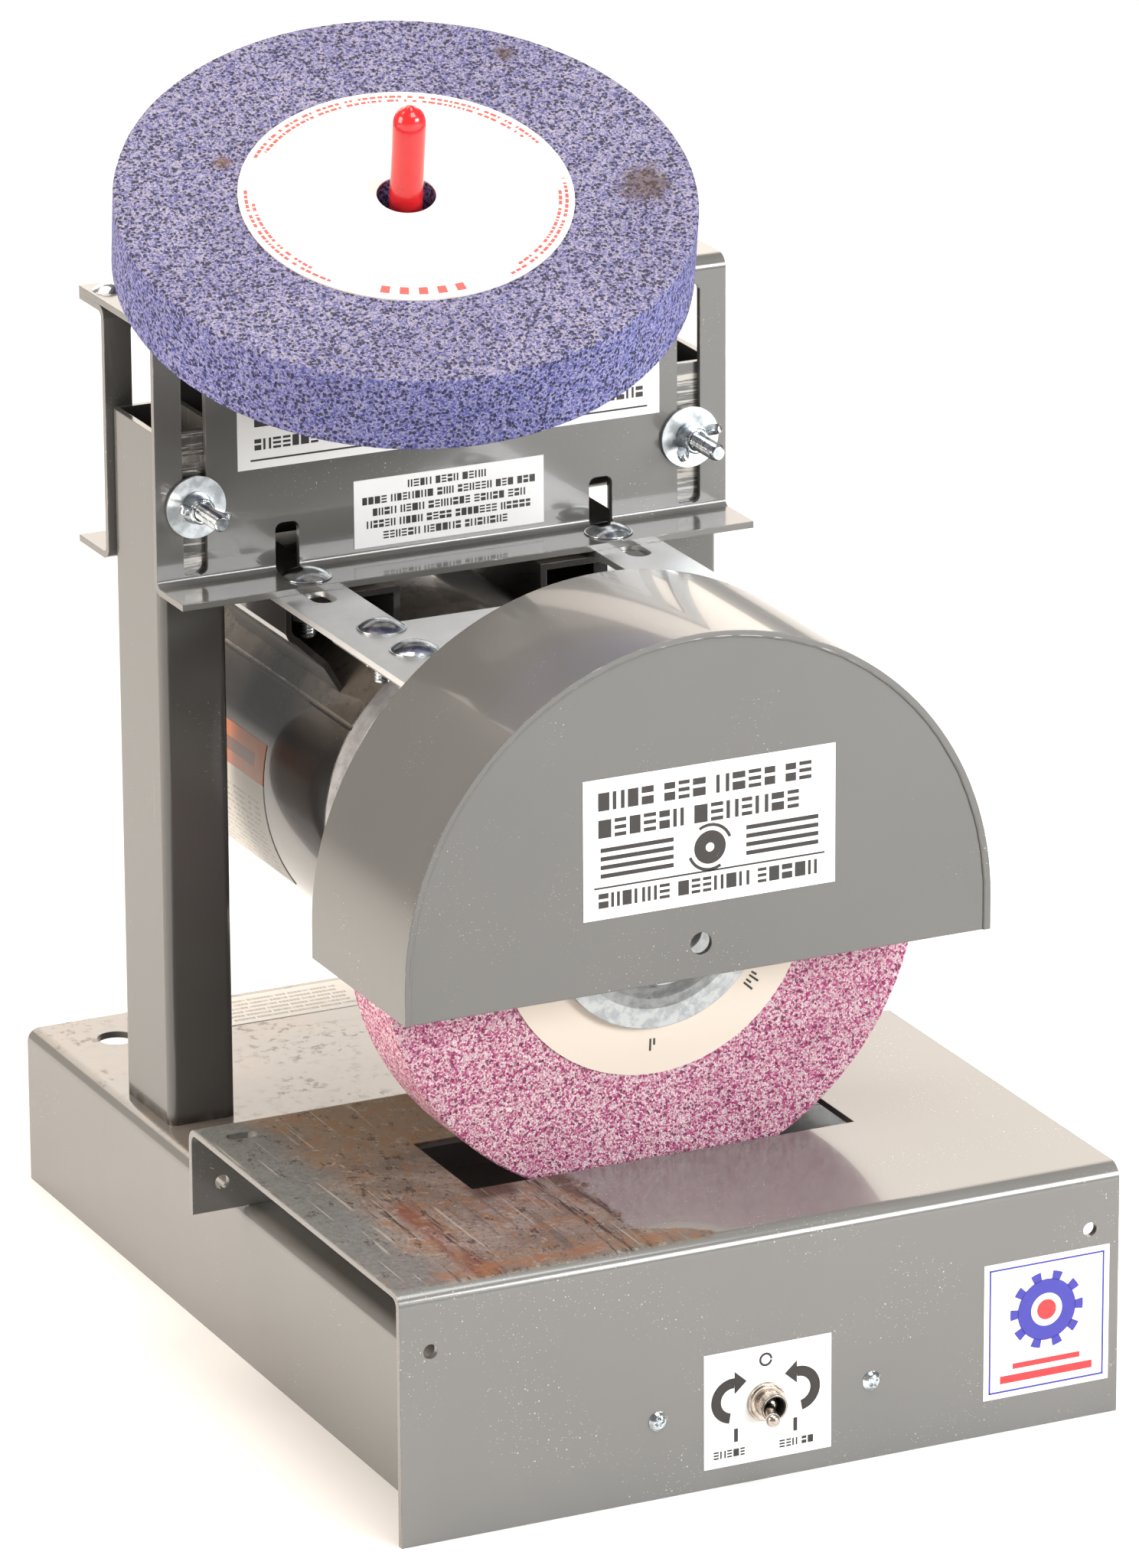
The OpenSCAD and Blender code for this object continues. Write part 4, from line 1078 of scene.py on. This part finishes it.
def upper_print():
    place, width, height = face_of("upper_label")
    shapes = marks(8, width - 8, height - 17, 11.5, 8, 9) + marks(8, width - 8, 19, 9.5, 6, 8)
    shapes += marks(8, width - 8, 8.5, 5, 5, 9)
    shapes += [bar(6, width - 6, y, y + 0.8) for y in (3.6, height - 4.0)]
    printed("upper_print", shapes, place, BLACK_INK, "carriage")


def lower_print():
    place, width, height = face_of("lower_label")
    shapes = []
    for i, inset in enumerate((26, 4, 9, 6, 14)):
        shapes += marks(inset, width - inset, height - 6.0 - i * 5.5, 3.4, 20 + i)
    printed("lower_print", shapes, place, BLACK_INK, "carriage")


def switch_print():
    """Two turning arrows, a ring for off and two strokes for on, with bars below."""
    place, _, height = face_of("switch_label")
    middle_x = -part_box("switch_label")[0].x / MM
    shapes = []
    for side in (-1, 1):
        centre = x, y = (middle_x + side * 15.5, 29.5)
        turned = (lambda a: a) if side > 0 else (lambda a: 180 - a)
        shapes.append(ring_part(centre, 5.6, 10.2, turned(-80), turned(96), 20))
        shapes.append([(x - side * 0.8, y + 13), (x - side * 6.5, y + 7.9), (x - side * 0.8, y + 2.8)])
        shapes.append(bar(x - 0.9 - side * 1.5, x + 0.9 - side * 1.5, 10.5, 16.5))
        shapes += marks(x - 9, x + 9, 4, 3.4, 31 + side, 6)
    shapes.append(ring_part((middle_x, height - 6.5), 2.1, 3.1, 0, 350, 30))
    printed("switch_print", shapes, place, BLACK_INK, "base")


def sticker_print():
    """A plain gear and two bars inside a thin frame."""
    place, width, height = face_of("square_sticker")
    border = [bar(2.5, width - 2.5, y, y + 0.8) for y in (2.5, height - 3.3)]
    border += [bar(x, x + 0.8, 2.5, height - 2.5) for x in (2.5, width - 3.3)]
    centre = (width / 2, height * 0.6)
    gear = full_ring(centre, 7.5, 14)
    gear += [ring_part(centre, 13.6, 17.6, turn - 8, turn + 8, 4) for turn in range(0, 360, 36)]
    printed("sticker_blue", border + gear, place, BLUE_INK, "base")
    rows = [bar(8, width - 8, 6.5, 10), bar(14, width - 14, 12.5, 15)]
    printed("sticker_red", rows + [ring_part(centre, 0.01, 4.6, 0, 359, 32)], place, RED_INK, "base")


def blotter_print():
    """Rows of red dashes along arcs on the spare wheel's paper."""
    lift = SPARE_AXIS * (WHEEL_T + 0.8 * MM)
    place = standing_on(SPARE_FOOT + lift, SPARE_AXIS)
    front = bearing(place, -Vector((SPARE_AXIS.x, SPARE_AXIS.y, 0))) + 180
    rng = random.Random(7)
    shapes = []
    for radius, first, last in ((69.6, 118, 246), (66.8, 124, 240), (69.6, 34, 96), (66.8, 40, 90),
                                (69.6, -96, -34), (66.8, -88, -42)):
        turn = first
        while turn < last:
            end = min(last, turn + rng.uniform(0.8, 2.6))
            shapes.append(ring_part((0, 0), radius - 0.75, radius + 0.75, front + turn, front + end, 3))
            turn = end + rng.choice((0.7, 0.7, 0.8, 2.2))
    shapes += [ring_part((0, 0), 64.6, 69.4, front + turn - 1.7, front + turn + 1.7, 4)
               for turn in range(-14, 15, 7)]
    printed("blotter_print", shapes, place, PALE_RED_INK, "spare_wheel")


def stamp_print():
    """Three short stamped marks on the mounted wheel's paper, and small rows on the base label."""
    paper_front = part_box("wheel_blotters")[0].y
    place = standing_on((0, paper_front, middle("wheel_blotters").z), FORWARD)
    down = bearing(place, Vector((0, 0, -1)))
    stamps = []
    for turn in (down - 3, down + 47, down + 51):
        stamps.append(ring_part((0, 0), 57, 62.5, turn, turn + 0.9, 3))
        stamps.append(ring_part((0, 0), 57, 60.0, turn + 1.8, turn + 2.7, 3))
    printed("stamp_print", stamps, place, BLACK_INK, "spindle")
    low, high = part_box("base_label")
    rows = []
    for i in range(6):
        rows += marks(4, 66, 4 + i * 4.6, 2.0, 50 + i, 9)
    printed("base_print", rows, Matrix.Translation((low.x, low.y, high.z)), GREY_INK, "base")


for make in (guard_print, upper_print, lower_print, switch_print, sticker_print, blotter_print,
             stamp_print):
    make()


# ---------- floor, light and camera ----------

def stage_floor():
    low, high = cad_box
    centre = (low + high) / 2
    mesh = bmesh.new()
    bmesh.ops.create_grid(mesh, x_segments=1, y_segments=1, size=6)
    bmesh.ops.translate(mesh, verts=mesh.verts, vec=(centre.x, centre.y, low.z))
    f = Finish("floor", roughness=0.7)
    f.look(f.mix(f.noise(2, 2), (0.86, 0.86, 0.86), (0.89, 0.89, 0.885)))
    put_mesh("floor", mesh, f)


def softbox(name, position, target, size, power, colour=(1, 1, 1)):
    light = bpy.data.lights.new(name, "AREA")
    light.shape = "RECTANGLE"
    light.size, light.size_y = size
    light.energy = power
    light.color = colour
    lamp = put(name, light)
    lamp.location = position
    lamp.rotation_euler = (Vector(target) - Vector(position)).to_track_quat("-Z", "Y").to_euler()


def studio():
    """Neutral lamps at the front, warm ones at the left and above, and a warm panel behind to mirror."""
    world = bpy.data.worlds.new("studio")
    bpy.context.scene.world = world
    world.use_nodes = True
    background = world.node_tree.nodes["Background"]
    background.inputs["Color"].default_value = (1.0, 0.985, 0.965, 1.0)
    background.inputs["Strength"].default_value = 0.35
    centre = (0, 0.2, 0.2)
    warm = (1.0, 0.89, 0.78)
    softbox("front", (1.5, -2.0, 1.1), centre, (1.3, 1.0), 74)
    softbox("over_front", (0.3, -0.9, 2.3), (0, -0.1, 0), (1.2, 1.2), 36)
    softbox("left", (-2.2, 0.5, 1.0), centre, (1.2, 1.2), 46, warm)
    softbox("top", (-0.5, 0.8, 2.3), centre, (1.4, 1.4), 33, warm)
    softbox("behind", (0.9, 3.4, 1.8), (0, 0.2, 0.3), (4.0, 2.6), 74, warm)
    bpy.context.scene.view_settings.view_transform = "Standard"


def camera():
    """A long lens that looks down on the machine from the front left, very slightly rolled."""
    azimuth, elevation, roll = (radians(a) for a in (-25.43, 18.78, -0.32))
    target = Vector((-7.5, 173.3, 258.8)) * MM
    distance = 3.9487
    back = Vector((sin(azimuth) * cos(elevation), -cos(azimuth) * cos(elevation), sin(elevation)))
    right = Vector((cos(azimuth), sin(azimuth), 0))
    up = back.cross(right)
    rolled_right = right * cos(roll) + up * sin(roll)
    rolled_up = up * cos(roll) - right * sin(roll)
    data = bpy.data.cameras.new("camera")
    data.sensor_width = 36
    data.lens = 210.84
    data.clip_end = 50
    seen = put("camera", data)
    turn = Matrix((rolled_right, rolled_up, back)).transposed().to_4x4()
    seen.matrix_world = Matrix.Translation(target + back * distance) @ turn
    bpy.context.scene.camera = seen


stage_floor()
studio()
camera()
